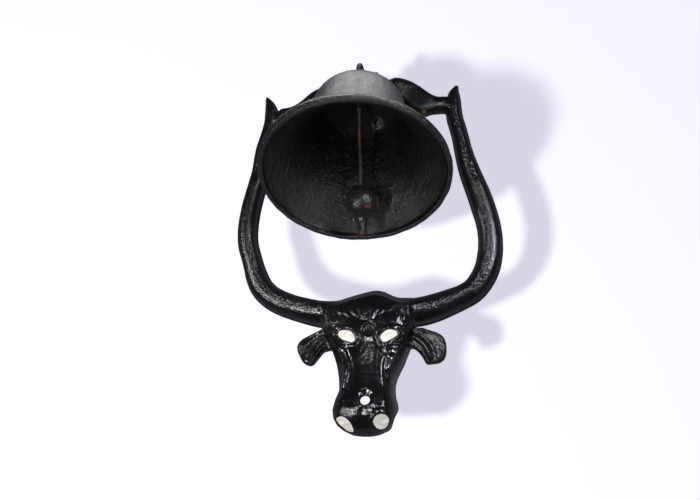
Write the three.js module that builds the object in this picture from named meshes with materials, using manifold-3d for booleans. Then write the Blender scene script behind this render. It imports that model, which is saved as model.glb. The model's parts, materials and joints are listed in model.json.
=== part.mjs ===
// Steer-head wall bell: a cast-iron steer head whose horns curve up into a
// loop, a crossbar between the horn tips with two lugs, and a flared cast bell
// that swings on a bolt through those lugs, with a loose clapper inside.
// Millimetres, +Z up, +X to the right, the wall is the plane y = 0 and the
// object stands in front of it at negative y.  The origin is where the axis of
// the screw hole in the nose meets the wall.
import * as THREE from 'three';
import { mergeVertices } from 'three/addons/utils/BufferGeometryUtils.js';
import Module from 'manifold-3d';

const wasm = await Module();
wasm.setup();

// ---------------------------------------------------------------- dimensions
const GAP = 0.3;                 // clearance left between separate pieces
const WALL = 5.5;                // thickness of the hollow-backed head

const TILT = 26.8;               // lean of the bell's axis, crown to the wall
const PIVOT = [0, -23.3, 341.5]; // bell hinge
const H_PIVOT = 141.2;             // mouth plane to hinge, along the bell's axis
const H_STAPLE = 103;            // mouth plane to the clapper hinge
const MOUTH_R = 95.2;             // bell mouth radius
const EAR_T = 6.5;               // thickness of the bell's hanging ear
const EAR_R = 15.5;              // radius of the top of the ear
const EAR_H = 144;               // mouth plane to the centre of that radius
const BOLT_R = 3.15;             // 1/4 in bolt
const LUG_IN = 4.6, LUG_OUT = 11, LUG_R = 6.8;
const WEB = 4.3;                 // crossbar web left behind the slot

const BALL_R = 17.5;             // clapper ball
const CLAPPER_L = 106.4;         // clapper hinge to ball centre
const ROD_R = 1.6;
const STAPLE_R = 1.8, STAPLE_W = 7;

const NOSE_R = 5.1;              // screw hole in the nose
const DIMPLE = [0, 70.3, 6.5, 2.6];   // x, z, radius, depth of forehead dimple
const EYE = [21.4, 64, 9.5, 3.2, 6.8];  // x, z, radii
const NOSTRIL = [17.8, -21.5, 8.3];     // x, z, opening radius

// head half-width and depth at heights up the head
const HEAD = [
  [-33, 9, 33], [-30, 17.5, 42], [-26, 23.5, 49.5], [-21, 27, 54.5], [-14, 29.4, 57],
  [-6, 29.6, 56], [2, 28.8, 53], [10, 28, 49.5], [18, 27.8, 47], [26, 28.6, 45.5],
  [34, 30.8, 44.5], [42, 34, 43.8], [50, 37.5, 43], [58, 39.5, 42.3], [66, 40.5, 41.5],
  [74, 42, 40], [82, 45, 37.5], [90, 46, 34.5], [97, 43, 32], [103, 38, 29.5],
  [108, 30, 26.5], [113, 19, 23.5], [116, 9, 20.5]];

// horn centre line: x, z, width across the wall plane, depth off the wall
const HORN = [
  [100.2, 335.5, 3.2, 6], [98.2, 328, 10.5, 9], [97.2, 318, 14.5, 11.5], [97.8, 308, 16.2, 12.5],
  [99.6, 297, 16.6, 13], [102.4, 285, 17, 13.5], [105.1, 270, 18, 14.2], [107.9, 255, 19.3, 15],
  [111.4, 239, 20.6, 15.6], [117, 219, 21.8, 16.3], [122, 197, 22.8, 17], [124.8, 176, 23.3, 17.6],
  [124.3, 159, 23.4, 18], [120.8, 143, 23.7, 18.4], [113.6, 127, 24.2, 18.9], [104.6, 115.8, 24.6, 19.4],
  [95.5, 109.4, 24.8, 20], [84, 104.6, 25.2, 20.8], [72, 100.6, 26, 22], [60, 97.4, 27.2, 24],
  [47, 95, 28.6, 26.5], [34, 93.4, 29.6, 28.5], [18, 92.4, 30, 29.5]];

// crossbar outline in the wall plane, right half, top edge then bottom edge
const BAR_TOP = [[0, 343], [18, 343.6], [28, 343.6], [38, 342], [47, 338.8], [56, 334.6], [64, 330], [71, 325.6], [79, 323], [90, 323]];
const BAR_BOT = [[96, 305], [84, 305.4], [72, 306.6], [65, 305.6], [58, 304.2], [51, 307.6], [44, 313.6], [36, 318.4], [26, 320.4], [14, 320.6], [0, 320.6]];

// bell wall, radius and height above the mouth plane
const BELL_IN = [
  [0, 111.6], [12, 111.4], [23, 110], [31, 106.8], [36.4, 101.8], [39.6, 95], [41.8, 86.5], [44, 77],
  [46.4, 67], [49.6, 56.4], [54, 45.4], [60, 34.4], [67.8, 24.2], [76.6, 15.6], [84.4, 9], [89, 4.6], [90.6, 1.8]];
const BELL_OUT = [
  [91.6, 0.2], [93.7, 0], [94.9, 1.4], [MOUTH_R, 3.6], [94, 6.4], [90.6, 9.8], [84.4, 14.6], [76.6, 21.4],
  [69.4, 29.6], [63, 39], [58.2, 49.2], [54.6, 60], [51.9, 71], [49.7, 82], [47.8, 92], [45.4, 100],
  [41.2, 106.8], [34.6, 112], [25.5, 115.8], [13, 117.8], [0, 118]];

// --------------------------------------------------------------------- tools
const lerp = (a, b, t) => a + (b - a) * t;
const smooth = (t) => { t = Math.min(1, Math.max(0, t)); return t * t * (3 - 2 * t); };
const bump = (d, w) => Math.exp(-(d * d) / (w * w));

function table(rows, key, k) {
  if (key <= rows[0][0]) return rows[0][k];
  for (let i = 1; i < rows.length; i++) {
    if (key <= rows[i][0]) {
      return lerp(rows[i - 1][k], rows[i][k], (key - rows[i - 1][0]) / (rows[i][0] - rows[i - 1][0]));
    }
  }
  return rows[rows.length - 1][k];
}

function segDist(px, pz, ax, az, bx, bz) {
  const vx = bx - ax, vz = bz - az;
  const t = Math.min(1, Math.max(0, ((px - ax) * vx + (pz - az) * vz) / (vx * vx + vz * vz)));
  return Math.hypot(px - ax - vx * t, pz - az - vz * t);
}

function solid(geometry) {
  const g = geometry.clone();
  g.deleteAttribute('normal');
  g.deleteAttribute('uv');
  const m = mergeVertices(g, 1e-4);
  const pos = m.attributes.position, idx = m.index.array;
  // outward winding: a negative signed volume means the faces point inward
  let volume = 0;
  const a = new THREE.Vector3(), b = new THREE.Vector3(), c = new THREE.Vector3();
  for (let i = 0; i < idx.length; i += 3) {
    a.fromBufferAttribute(pos, idx[i]);
    b.fromBufferAttribute(pos, idx[i + 1]);
    c.fromBufferAttribute(pos, idx[i + 2]);
    volume += a.dot(b.cross(c));
  }
  const tri = new Uint32Array(idx);
  if (volume < 0) for (let i = 0; i < tri.length; i += 3) { const k = tri[i]; tri[i] = tri[i + 1]; tri[i + 1] = k; }
  const mesh = new wasm.Mesh({ numProp: 3, vertProperties: new Float32Array(pos.array), triVerts: tri });
  mesh.merge();
  return new wasm.Manifold(mesh);
}

function toGeometry(man) {
  const mesh = man.getMesh();
  const g = new THREE.BufferGeometry();
  g.setAttribute('position', new THREE.BufferAttribute(new Float32Array(mesh.vertProperties), 3));
  g.setIndex(new THREE.BufferAttribute(new Uint32Array(mesh.triVerts), 1));
  return g;
}

function remap(geometry, fn) {
  const p = geometry.attributes.position;
  for (let i = 0; i < p.count; i++) {
    const [x, y, z] = fn(p.getX(i), p.getY(i), p.getZ(i));
    p.setXYZ(i, x, y, z);
  }
  p.needsUpdate = true;
  return geometry;
}

const mirrorX = (man) => man.mirror([1, 0, 0]);

// ------------------------------------------------------------- steer's head
// raised and sunken relief on the face of the head
function relief(x, z) {
  const ax = Math.abs(x);
  let r = 0;
  // fold that runs from under each eye down the side of the nose
  const fold = Math.min(
    segDist(ax, z, 30, 56, 25, 44), segDist(ax, z, 25, 44, 19.5, 30), segDist(ax, z, 19.5, 30, 17.5, 14));
  r += 2.3 * bump(fold, 3.2);
  const groove = Math.min(segDist(ax, z, 21, 50, 15, 36), segDist(ax, z, 15, 36, 12, 14));
  r -= 1.9 * bump(groove, 3.4);
  // brow over each eye and the tuft of hair between the horns
  r += 2.6 * bump(segDist(ax, z, 12, 75, 33, 74), 4);
  r += 3.2 * bump(Math.hypot(x / 1.3, z - 93), 11);
  // wings of the nose above the nostrils
  r += 1.8 * bump(segDist(ax, z, 10, -8, 23, -10), 5);
  return r;
}

function headBase(w, d, x) {
  const a = Math.min(1, Math.abs(x) / w);
  return d * (0.36 + 0.64 * Math.sqrt(Math.max(0, 1 - Math.pow(a, 2.6))));
}

function headSolid(inset, nx, ny, nz, z0, z1, back) {
  const g = new THREE.BoxGeometry(1, 1, 1, nx, ny, nz);
  return remap(g, (u, v, t) => {
    const z = lerp(z0, z1, t + 0.5);
    const w = table(HEAD, z, 1) - inset;
    const d = table(HEAD, z, 2) - inset;
    const b = 0.5 - v;                       // 0 at the back, 1 at the face
    const s = Math.sin(u * Math.PI);         // crowd the columns at the sides
    const a = lerp(2 * u, s, 0.75);
    const x = w * a * (1 - 0.08 * b);
    let depth = headBase(w, d, w * a);
    if (inset === 0) depth += relief(x, z) * b * b * (1 - Math.pow(Math.abs(a), 6));
    const y = back - b * (depth + back);
    // underside of the jaw rises toward the wall
    const lift = Math.max(0, -z - 23) * Math.max(0, 1 + y / 34);
    return [x, y, z + lift];
  });
}

let head = solid(headSolid(0, 18, 4, 29, -33, 116, 0));
const headHollow = solid(headSolid(WALL, 10, 3, 13, -24, 98, 2));

// ------------------------------------------------------------------- horns
const hornCurve = new THREE.CatmullRomCurve3(HORN.map((h) => new THREE.Vector3(h[0], 0, h[1])), false, 'centripetal');
const hornKeys = HORN.map((h, i) => [i / (HORN.length - 1), h[2], h[3]]);
const HORN_SEG = 27, HORN_RING = 14;
const horn = solid(remap(new THREE.CylinderGeometry(1, 1, 1, HORN_RING, HORN_SEG, false), (px, py, pz) => {
  const s = 0.5 - py;
  const c = hornCurve.getPoint(s);
  const t = hornCurve.getTangent(s).normalize();
  const n = [t.z, -t.x];                     // across the horn, in the wall plane
  const w = table(hornKeys, s, 1) / 2;
  const d = table(hornKeys, s, 2);
  const rad = Math.hypot(px, pz);
  if (rad < 0.5) return [c.x, -d / 3, c.z];
  const cx = px / rad, sy = pz / rad;
  const side = 0.34 * d;
  let across, y;
  if (sy > -1e-6) {
    y = -(side + (d - side) * Math.pow(Math.max(0, sy), 0.85));
    across = w * cx;
  } else {
    y = 0;
    across = w * Math.max(-1, Math.min(1, cx / Math.cos(Math.PI * 2 / HORN_RING)));
  }
  return [c.x + n[0] * across, y, c.z + n[1] * across];
}));

// --------------------------------------------------------------- crossbar
const barDepth = (x) => {
  const a = Math.abs(x);
  // thin behind the bolt head and nut, full where it shows beside the crown
  return lerp(lerp(13, 19, smooth((a - 27) / 10)), 12.5, smooth((a - 46) / 30));
};
const barLoop = [
  ...BAR_TOP.slice(1).reverse().map(([x, z]) => [-x, z]),
  ...BAR_TOP,
  ...BAR_BOT,
  ...BAR_BOT.slice(0, -1).reverse().map(([x, z]) => [-x, z]),
];
const barShape = new THREE.Shape(barLoop.map(([x, z]) => new THREE.Vector2(x, z)));
const bar = solid(remap(new THREE.ExtrudeGeometry(barShape, {
  depth: 0.72, steps: 1, bevelEnabled: true, bevelThickness: 0.28, bevelSize: 3.4, bevelOffset: -3.4, bevelSegments: 3,
}), (x, y, e) => {
  // the front edges are rounded; the back is cut flat on the wall below
  return [x, -e * barDepth(x), y];
}));

// lugs that hold the bell's bolt
const boxAt = (x0, x1, y0, y1, z0, z1) => {
  const g = new THREE.BoxGeometry(x1 - x0, y1 - y0, z1 - z0);
  g.translate((x0 + x1) / 2, (y0 + y1) / 2, (z0 + z1) / 2);
  return solid(g);
};
const cylX = (r, x0, x1, y, z, n = 32) => {
  const g = new THREE.CylinderGeometry(r, r, x1 - x0, n);
  g.rotateZ(Math.PI / 2);
  g.translate((x0 + x1) / 2, y, z);
  return solid(g);
};
const cylY = (r, y0, y1, x, z, n = 32, r2 = r) => {
  const g = new THREE.CylinderGeometry(r2, r, y1 - y0, n);
  g.translate(x, (y0 + y1) / 2, z);
  return solid(g);
};
const ellipsoid = (rx, ry, rz, nu = 20, nv = 12) => {
  const g = new THREE.SphereGeometry(1, nu, nv);
  g.rotateX(Math.PI / 2);
  g.scale(rx, ry, rz);
  return solid(g);
};

const lugs = cylX(LUG_R, -LUG_OUT, LUG_OUT, PIVOT[1], PIVOT[2])
  .add(boxAt(-LUG_OUT, LUG_OUT, PIVOT[1] - LUG_R + 0.6, -1, 322.5, PIVOT[2] + 0.5));

// ------------------------------------------------------------------- ears
const EAR = [[36, 79], [43, 78.4], [49, 76], [57, 72.4], [65, 68.4], [71, 63.6], [74.2, 57], [74.4, 51],
  [71.6, 45], [66.4, 41.4], [60, 40], [56, 41.4], [52.6, 45.6], [48, 51], [42, 56.6], [36, 60]];
const earShape = new THREE.Shape(EAR.map(([x, z]) => new THREE.Vector2(x, z)));
let ear = solid(remap(new THREE.ExtrudeGeometry(earShape, {
  depth: 5, steps: 1, bevelEnabled: true, bevelThickness: 4.5, bevelSize: 4.5, bevelOffset: -4.5, bevelSegments: 3,
}), (x, y, e) => {
  const t = smooth((x - 36) / 38);
  return [x, -(e + 4.5) * lerp(1.05, 0.9, t) - lerp(7, 9, t), y];
}));
// hollow of the ear and the fold beside it
ear = ear.subtract(ellipsoid(14, 4.2, 6.2).rotate([0, 24, 0]).translate([60, -23.2, 56.5]));

// ------------------------------------------------------- eyes and nostrils
const headDepthAt = (x, z) => headBase(table(HEAD, z, 1), table(HEAD, z, 2), x) + relief(x, z);
const eyeY = -headDepthAt(EYE[0], EYE[1]);
const place = (man, x, y, z, rot) => man.rotate(rot).translate([x, y, z]);
const eyeRot = [10, 14, 24];
const lidRight = place(ellipsoid(13, 6.4, 10.2), EYE[0], eyeY + 0.6, EYE[1], eyeRot);
const eyeCutRight = place(ellipsoid(EYE[2] + GAP, EYE[3] + GAP, EYE[4] + GAP, 18, 10), EYE[0] + 0.4, eyeY - 4.9, EYE[1] - 0.2, eyeRot);
const eyeRight = place(ellipsoid(EYE[2], EYE[3], EYE[4], 18, 10), EYE[0] + 0.4, eyeY - 4.9, EYE[1] - 0.2, eyeRot);

// a nostril is a dish, part of a ball sunk into the muzzle
const NOS_BALL = 12;
const nosY = -headDepthAt(NOSTRIL[0], NOSTRIL[1]);
const nosN = new THREE.Vector3(0.42, -0.76, -0.5).normalize();
// the muzzle is domed, so the ball sits deeper than on a flat face
const nosK = Math.sqrt(NOS_BALL * NOS_BALL - NOSTRIL[2] * NOSTRIL[2]) - 3;
const nosC = [NOSTRIL[0] + nosN.x * nosK, nosY + nosN.y * nosK, NOSTRIL[1] + nosN.z * nosK];
const ball = (r) => ellipsoid(r, r, r, 22, 14).translate(nosC);

// -------------------------------------------------------- frame, all one casting
let outer = head.add(horn).add(mirrorX(horn)).add(ear).add(mirrorX(ear)).add(lidRight).add(mirrorX(lidRight));
const nostrilShell = outer.intersect(ball(NOS_BALL - GAP).subtract(ball(NOS_BALL - 1.6)));
outer = outer.add(bar).add(lugs);
// slot for the bell's ear, open at the front, with a web behind it
outer = outer.subtract(boxAt(-LUG_IN, LUG_IN, -60, -WEB, 300, 380));
outer = outer.subtract(cylX(BOLT_R + GAP, -40, 40, PIVOT[1], PIVOT[2], 28));
outer = outer.subtract(headHollow);
outer = outer.subtract(cylY(NOSE_R, -80, 10, 0, 0, 32));
outer = outer.subtract(ellipsoid(8.6, 4, 8.2, 24, 12).translate([0, -headDepthAt(0, 3) - 0.6, 3.4]));
outer = outer.subtract(cylY(DIMPLE[2], -80, -headDepthAt(0, DIMPLE[1]) + DIMPLE[3], DIMPLE[0], DIMPLE[1], 24));
outer = outer.subtract(eyeCutRight).subtract(mirrorX(eyeCutRight));
outer = outer.subtract(ball(NOS_BALL)).subtract(mirrorX(ball(NOS_BALL)));
// flat back on the wall
outer = outer.subtract(boxAt(-200, 200, 0, 60, -100, 420));
const frameCasting = outer;

const nostrilRight = nostrilShell.subtract(boxAt(-100, 5, -90, 10, -60, 20));

// -------------------------------------------------------------------- bell
const toBell = (man) => man.translate([0, 0, -H_PIVOT]).rotate([-TILT, 0, 0]).translate(PIVOT);
const lathe = (pts, n) => {
  const g = new THREE.LatheGeometry(pts.map(([r, z]) => new THREE.Vector2(r, z)), n);
  g.rotateX(Math.PI / 2);
  return solid(g);
};
let bell = lathe([...BELL_IN, ...BELL_OUT], 46);
const earPts = [];
earPts.push([-17.5, 114], [17.5, 114], [16.6, 119.5], [15.4, 124], [14.6, 130], [14.9, 137]);
for (let i = 0; i <= 20; i++) {
  const a = Math.PI * (i / 20);
  earPts.push([EAR_R * Math.cos(a), EAR_H + EAR_R * Math.sin(a)]);
}
earPts.push([-14.9, 137], [-14.6, 130], [-15.4, 124], [-16.6, 119.5]);
const hangShape = new THREE.Shape(earPts.map(([a, b]) => new THREE.Vector2(a, b)));
const hole = new THREE.Path();
hole.absarc(0, H_PIVOT, BOLT_R + GAP + 0.15, 0, Math.PI * 2, true);
hangShape.holes.push(hole);
const hangEar = solid(remap(new THREE.ExtrudeGeometry(hangShape, {
  depth: EAR_T - 2, steps: 1, bevelEnabled: true, bevelThickness: 1, bevelSize: 1, bevelOffset: -1, bevelSegments: 1, curveSegments: 20,
}), (a, b, e) => [e - (EAR_T - 2) / 2, a, b]));
bell = bell.add(hangEar);
// cast fillet round the foot of the ear
const foot = lathe([[0, 115], [22, 115.6], [18, 118.4], [9, 120.4], [0, 120.8]], 40);
bell = bell.add(foot.intersect(boxAt(-9, 9, -30, 30, 112, 130)));
// blind holes for the legs of the staple
const zCyl = (r, z0, z1, x, n = 20) => {
  const g = new THREE.CylinderGeometry(r, r, z1 - z0, n);
  g.rotateX(Math.PI / 2);
  g.translate(x, 0, (z0 + z1) / 2);
  return solid(g);
};
for (const s of [-1, 1]) bell = bell.subtract(zCyl(STAPLE_R + GAP, 105, 115.2, s * STAPLE_W));
const bellCasting = toBell(bell);

// staple: bent wire, both legs up in the crown
const zB = H_STAPLE, zT = 114.8, rB = 4.5;
class Staple extends THREE.Curve {
  getPoint(t, out = new THREE.Vector3()) {
    const leg = zT - zB - rB, arc = rB * Math.PI / 2, flat = 2 * (STAPLE_W - rB);
    const L = 2 * leg + 2 * arc + flat;
    let d = t * L;
    if (d <= leg) return out.set(-STAPLE_W, 0, zT - d);
    d -= leg;
    if (d <= arc) { const a = d / rB; return out.set(-STAPLE_W + rB - rB * Math.cos(a), 0, zB + rB - rB * Math.sin(a)); }
    d -= arc;
    if (d <= flat) return out.set(-STAPLE_W + rB + d, 0, zB);
    d -= flat;
    if (d <= arc) { const a = d / rB; return out.set(STAPLE_W - rB + rB * Math.sin(a), 0, zB + rB - rB * Math.cos(a)); }
    d -= arc;
    return out.set(STAPLE_W, 0, zB + rB + d);
  }
}
const wireShape = (r, n) => {
  const p = [];
  for (let i = 0; i < n; i++) p.push(new THREE.Vector2(r * Math.cos(2 * Math.PI * i / n), r * Math.sin(2 * Math.PI * i / n)));
  return new THREE.Shape(p);
};
const staple = toBell(solid(new THREE.ExtrudeGeometry(wireShape(STAPLE_R, 10), { steps: 22, extrudePath: new Staple(), bevelEnabled: false })));

// ----------------------------------------------------------------- clapper
const tilt = TILT * Math.PI / 180;
const CLAP = [0, PIVOT[1] - (H_PIVOT - H_STAPLE) * Math.sin(tilt), PIVOT[2] - (H_PIVOT - H_STAPLE) * Math.cos(tilt)];
const EYE_R = STAPLE_R + 1.0 + ROD_R;     // radius of the eye's centre line
// closed eye round the staple: a ring whose axis is the clapper's hinge
const ringPts = [];
for (let i = 0; i <= 12; i++) {
  const a = 2 * Math.PI * (i % 12) / 12;
  ringPts.push(new THREE.Vector2(EYE_R + ROD_R * Math.cos(a), ROD_R * Math.sin(a)));
}
const ring = new THREE.LatheGeometry(ringPts, 20);
ring.rotateZ(Math.PI / 2);
let rod = solid(ring);
const rodTop = -EYE_R + 0.6, rodBottom = -CLAPPER_L + 6;
const shank = new THREE.CylinderGeometry(ROD_R, ROD_R, rodTop - rodBottom, 16);
shank.rotateX(Math.PI / 2);
shank.translate(0, 0, (rodTop + rodBottom) / 2);
// wire wrapped round the shank where the eye closes
const neck = new THREE.CylinderGeometry(ROD_R + 0.9, ROD_R + 0.5, 7, 16);
neck.rotateX(-Math.PI / 2);
neck.translate(0, 0, -EYE_R - 2.2);
rod = rod.add(solid(shank)).add(solid(neck)).translate(CLAP);

const ballPts = [[0, 5], [ROD_R + GAP, 5], [ROD_R + GAP, 17.3]];
for (let i = 1; i <= 14; i++) {
  const a = Math.PI / 2 - 0.11 - (i - 0.5) * ((Math.PI / 2 - 0.11 + 1.28) / 14);
  ballPts.push([BALL_R * Math.cos(a), BALL_R * Math.sin(a)]);
}
ballPts.push([5.4, -18.2], [4.9, -22], [4.5, -27], [4.3, -31.5], [3.4, -34.4], [1.6, -35.6], [0, -35.8]);
const ballSolid = lathe(ballPts.reverse(), 24);
const clapperBall = ballSolid.translate([CLAP[0], CLAP[1], CLAP[2] - CLAPPER_L]);

// ---------------------------------------------------------------- fasteners
const hexShape = (af, holeR) => {
  const p = [];
  for (let i = 0; i < 6; i++) {
    const a = i * Math.PI / 3;
    p.push(new THREE.Vector2(af / Math.sqrt(3) * Math.cos(a), af / Math.sqrt(3) * Math.sin(a)));
  }
  const s = new THREE.Shape(p);
  if (holeR) { const h = new THREE.Path(); h.absarc(0, 0, holeR, 0, Math.PI * 2, true); s.holes.push(h); }
  return s;
};
const alongX = (geometry, x0) => {
  // an extrusion's own depth runs along x from x0
  return solid(remap(geometry, (a, b, e) => [x0 + e, PIVOT[1] + a, PIVOT[2] + b]));
};
const WASH_T = 1.5, HEAD_T = 4.4, NUT_T = 5.6;
const xWash = LUG_OUT + GAP;
const xHead = xWash + WASH_T + GAP;
const boltHead = alongX(new THREE.ExtrudeGeometry(hexShape(11.1, 0), { depth: HEAD_T - 1, bevelEnabled: true, bevelThickness: 0.5, bevelSize: 0.6, bevelOffset: -0.6, bevelSegments: 1 }), -xHead - HEAD_T + 0.5);
const bolt = boltHead.add(cylX(BOLT_R, -xHead - 1, xHead + NUT_T + 2, PIVOT[1], PIVOT[2], 28));
const nut = alongX(new THREE.ExtrudeGeometry(hexShape(11.1, BOLT_R + GAP), { depth: NUT_T - 1, bevelEnabled: true, bevelThickness: 0.5, bevelSize: 0.6, bevelOffset: -0.6, bevelSegments: 1, curveSegments: 14 }), xHead + 0.5);
const washerShape = new THREE.Shape();
washerShape.absarc(0, 0, 6.5, 0, Math.PI * 2, false);
const wh = new THREE.Path();
wh.absarc(0, 0, BOLT_R + GAP, 0, Math.PI * 2, true);
washerShape.holes.push(wh);
const washer = (x0) => alongX(new THREE.ExtrudeGeometry(washerShape, { depth: WASH_T, bevelEnabled: false, curveSegments: 14 }), x0);

// --------------------------------------------------------------- assembly
const paint = () => new THREE.MeshStandardMaterial({ color: 0x0c0c0d, roughness: 0.34, metalness: 0.1 });
const bellPaint = () => new THREE.MeshStandardMaterial({ color: 0x111112, roughness: 0.42, metalness: 0.15 });
const enamel = () => new THREE.MeshStandardMaterial({ color: 0xe9e2cf, roughness: 0.4, metalness: 0 });
const iron = () => new THREE.MeshStandardMaterial({ color: 0x2a1c16, roughness: 0.7, metalness: 0.5 });
const steel = () => new THREE.MeshStandardMaterial({ color: 0x1a1a1b, roughness: 0.45, metalness: 0.6 });

const group = new THREE.Group();
group.name = 'steer_head_wall_bell';
function add(name, man, material) {
  const mesh = new THREE.Mesh(toGeometry(man), material);
  mesh.name = name;
  group.add(mesh);
}
add('frame_casting', frameCasting, paint());
add('eye_enamel_right', eyeRight, enamel());
add('eye_enamel_left', mirrorX(eyeRight), enamel());
add('nostril_enamel_right', nostrilRight, enamel());
add('nostril_enamel_left', mirrorX(nostrilRight), enamel());
add('pivot_bolt', bolt, steel());
add('pivot_nut', nut, steel());
add('pivot_washer_left', washer(-xWash - WASH_T), steel());
add('pivot_washer_right', washer(xWash), steel());
add('bell_casting', bellCasting, bellPaint());
add('clapper_staple', staple, iron());
add('clapper_rod', rod, iron());
add('clapper_ball', clapperBall, iron());

export default group;
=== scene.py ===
import json
import math

import bpy
import numpy as np
from mathutils import Matrix, Vector, noise

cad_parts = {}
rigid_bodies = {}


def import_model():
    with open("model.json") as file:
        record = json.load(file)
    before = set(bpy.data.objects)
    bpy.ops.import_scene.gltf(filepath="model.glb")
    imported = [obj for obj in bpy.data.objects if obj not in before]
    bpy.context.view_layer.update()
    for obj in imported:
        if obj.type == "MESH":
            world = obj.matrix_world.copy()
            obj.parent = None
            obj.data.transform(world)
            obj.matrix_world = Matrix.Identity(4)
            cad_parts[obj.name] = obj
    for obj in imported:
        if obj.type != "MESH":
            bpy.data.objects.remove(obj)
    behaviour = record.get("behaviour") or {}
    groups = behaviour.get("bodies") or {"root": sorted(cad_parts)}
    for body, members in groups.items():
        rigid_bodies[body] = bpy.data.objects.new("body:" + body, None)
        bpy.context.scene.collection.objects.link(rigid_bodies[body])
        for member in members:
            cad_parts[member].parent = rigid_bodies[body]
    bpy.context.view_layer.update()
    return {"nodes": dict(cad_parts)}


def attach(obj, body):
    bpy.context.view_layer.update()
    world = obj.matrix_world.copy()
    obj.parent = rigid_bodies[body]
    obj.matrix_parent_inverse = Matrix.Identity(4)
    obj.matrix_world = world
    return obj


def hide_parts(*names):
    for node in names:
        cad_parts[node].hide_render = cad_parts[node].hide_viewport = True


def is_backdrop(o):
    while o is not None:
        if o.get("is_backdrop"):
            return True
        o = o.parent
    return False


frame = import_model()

rng = np.random.default_rng(7)
scene = bpy.context.scene

# ------------------------------------------------------------------ numbers (mm)
TILT = math.radians(26.8)
PIVOT = np.array([0.0, -23.3, 341.5])
H_PIVOT = 141.2
H_STAPLE = 103.0
CLAP = np.array([0.0, PIVOT[1] - (H_PIVOT - H_STAPLE) * math.sin(TILT), PIVOT[2] - (H_PIVOT - H_STAPLE) * math.cos(TILT)])
CLAP_L = 106.4
BALL_R = 17.5

# ------------------------------------------------------------------ small tools
def sstep(t):
    t = np.clip(t, 0, 1)
    return t * t * (3 - 2 * t)


def seg_dist(px, pz, pts):
    best = np.full(px.shape, 1e9, np.float32)
    for (ax, az), (bx, bz) in zip(pts[:-1], pts[1:]):
        vx, vz = bx - ax, bz - az
        t = np.clip(((px - ax) * vx + (pz - az) * vz) / (vx * vx + vz * vz + 1e-9), 0, 1)
        best = np.minimum(best, np.hypot(px - ax - vx * t, pz - az - vz * t))
    return best


def inside(px, pz, poly):
    r = np.zeros(px.shape, bool)
    n = len(poly)
    for i in range(n):
        ax, az = poly[i]
        bx, bz = poly[(i + 1) % n]
        c = (az > pz) != (bz > pz)
        with np.errstate(divide="ignore", invalid="ignore"):
            xx = (bx - ax) * (pz - az) / (bz - az + 1e-12) + ax
        r ^= c & (px < xx)
    return r


def poly_dist(px, pz, poly):
    """Signed distance to a closed outline, negative inside."""
    d = seg_dist(px, pz, list(poly) + [poly[0]])
    return np.where(inside(px, pz, poly), -d, d)


def smooth_loop(pts, n=12):
    """Closed Catmull-Rom curve through the points."""
    p = np.array(pts, float)
    out = []
    m = len(p)
    for i in range(m):
        a, b, c, d = p[(i - 1) % m], p[i], p[(i + 1) % m], p[(i + 2) % m]
        for k in range(n):
            t = k / n
            out.append(0.5 * ((2 * b) + (c - a) * t + (2 * a - 5 * b + 4 * c - d) * t * t + (3 * b - a - 3 * c + d) * t ** 3))
    return np.array(out)


def smooth_path(pts, n=8):
    p = np.array(pts, float)
    q = np.vstack([2 * p[0] - p[1], p, 2 * p[-1] - p[-2]])
    out = []
    for i in range(1, len(q) - 2):
        a, b, c, d = q[i - 1], q[i], q[i + 1], q[i + 2]
        for k in range(n):
            t = k / n
            out.append(0.5 * ((2 * b) + (c - a) * t + (2 * a - 5 * b + 4 * c - d) * t * t + (3 * b - a - 3 * c + d) * t ** 3))
    out.append(q[-2])
    return np.array(out)


def bump(d, w):
    return np.exp(-(d * d) / (w * w))


def smin(a, b, k):
    h = np.clip(0.5 + 0.5 * (b - a) / k, 0, 1)
    return b + (a - b) * h - k * h * (1 - h)


def smax(a, b, k):
    return -smin(-a, -b, k)


_lat = rng.random((64, 64, 64)).astype(np.float32) * 2 - 1


def vnoise(x, y, z):
    """Smooth value noise, one lattice step per unit."""
    xi, yi, zi = np.floor(x).astype(int), np.floor(y).astype(int), np.floor(z).astype(int)
    fx, fy, fz = sstep(x - xi), sstep(y - yi), sstep(z - zi)
    r = 0
    for dx in (0, 1):
        wx = fx if dx else 1 - fx
        for dy in (0, 1):
            wy = fy if dy else 1 - fy
            for dz in (0, 1):
                wz = fz if dz else 1 - fz
                r = r + wx * wy * wz * _lat[(xi + dx) % 64, (yi + dy) % 64, (zi + dz) % 64]
    return r


# --------------------------------------------------------------- frame casting
HORN_R = [(98.6, 332.8, 2.7, 7), (96.2, 326.5, 6.0, 9.6), (95.2, 318, 7.9, 11.6), (95, 308, 8.4, 12.5), (95.7, 298, 8.8, 13),
          (98.2, 287, 8.9, 13.4), (100.5, 276, 9.0, 13.8), (102.4, 264, 9.4, 14.4), (105, 251, 10.3, 15), (108.4, 238, 11.2, 15.6),
          (112.2, 226, 11.8, 16), (116.4, 213, 12.2, 16.5), (120.0, 200, 12.5, 17), (123.2, 187, 12.5, 17.3), (125.2, 174, 12.4, 17.6),
          (125.5, 161, 12.6, 18), (124.2, 148, 12.9, 18.2), (120.9, 135, 13.0, 18.6), (114.2, 122.4, 12.8, 19), (105.2, 112.3, 12.6, 19.5),
          (94, 106.2, 12.6, 20), (82, 101.7, 13.4, 21), (69.3, 97.5, 14.3, 22.5), (56.3, 94.2, 14.6, 25), (42, 92.5, 14.5, 27.5), (20, 92, 14, 29)]
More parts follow.
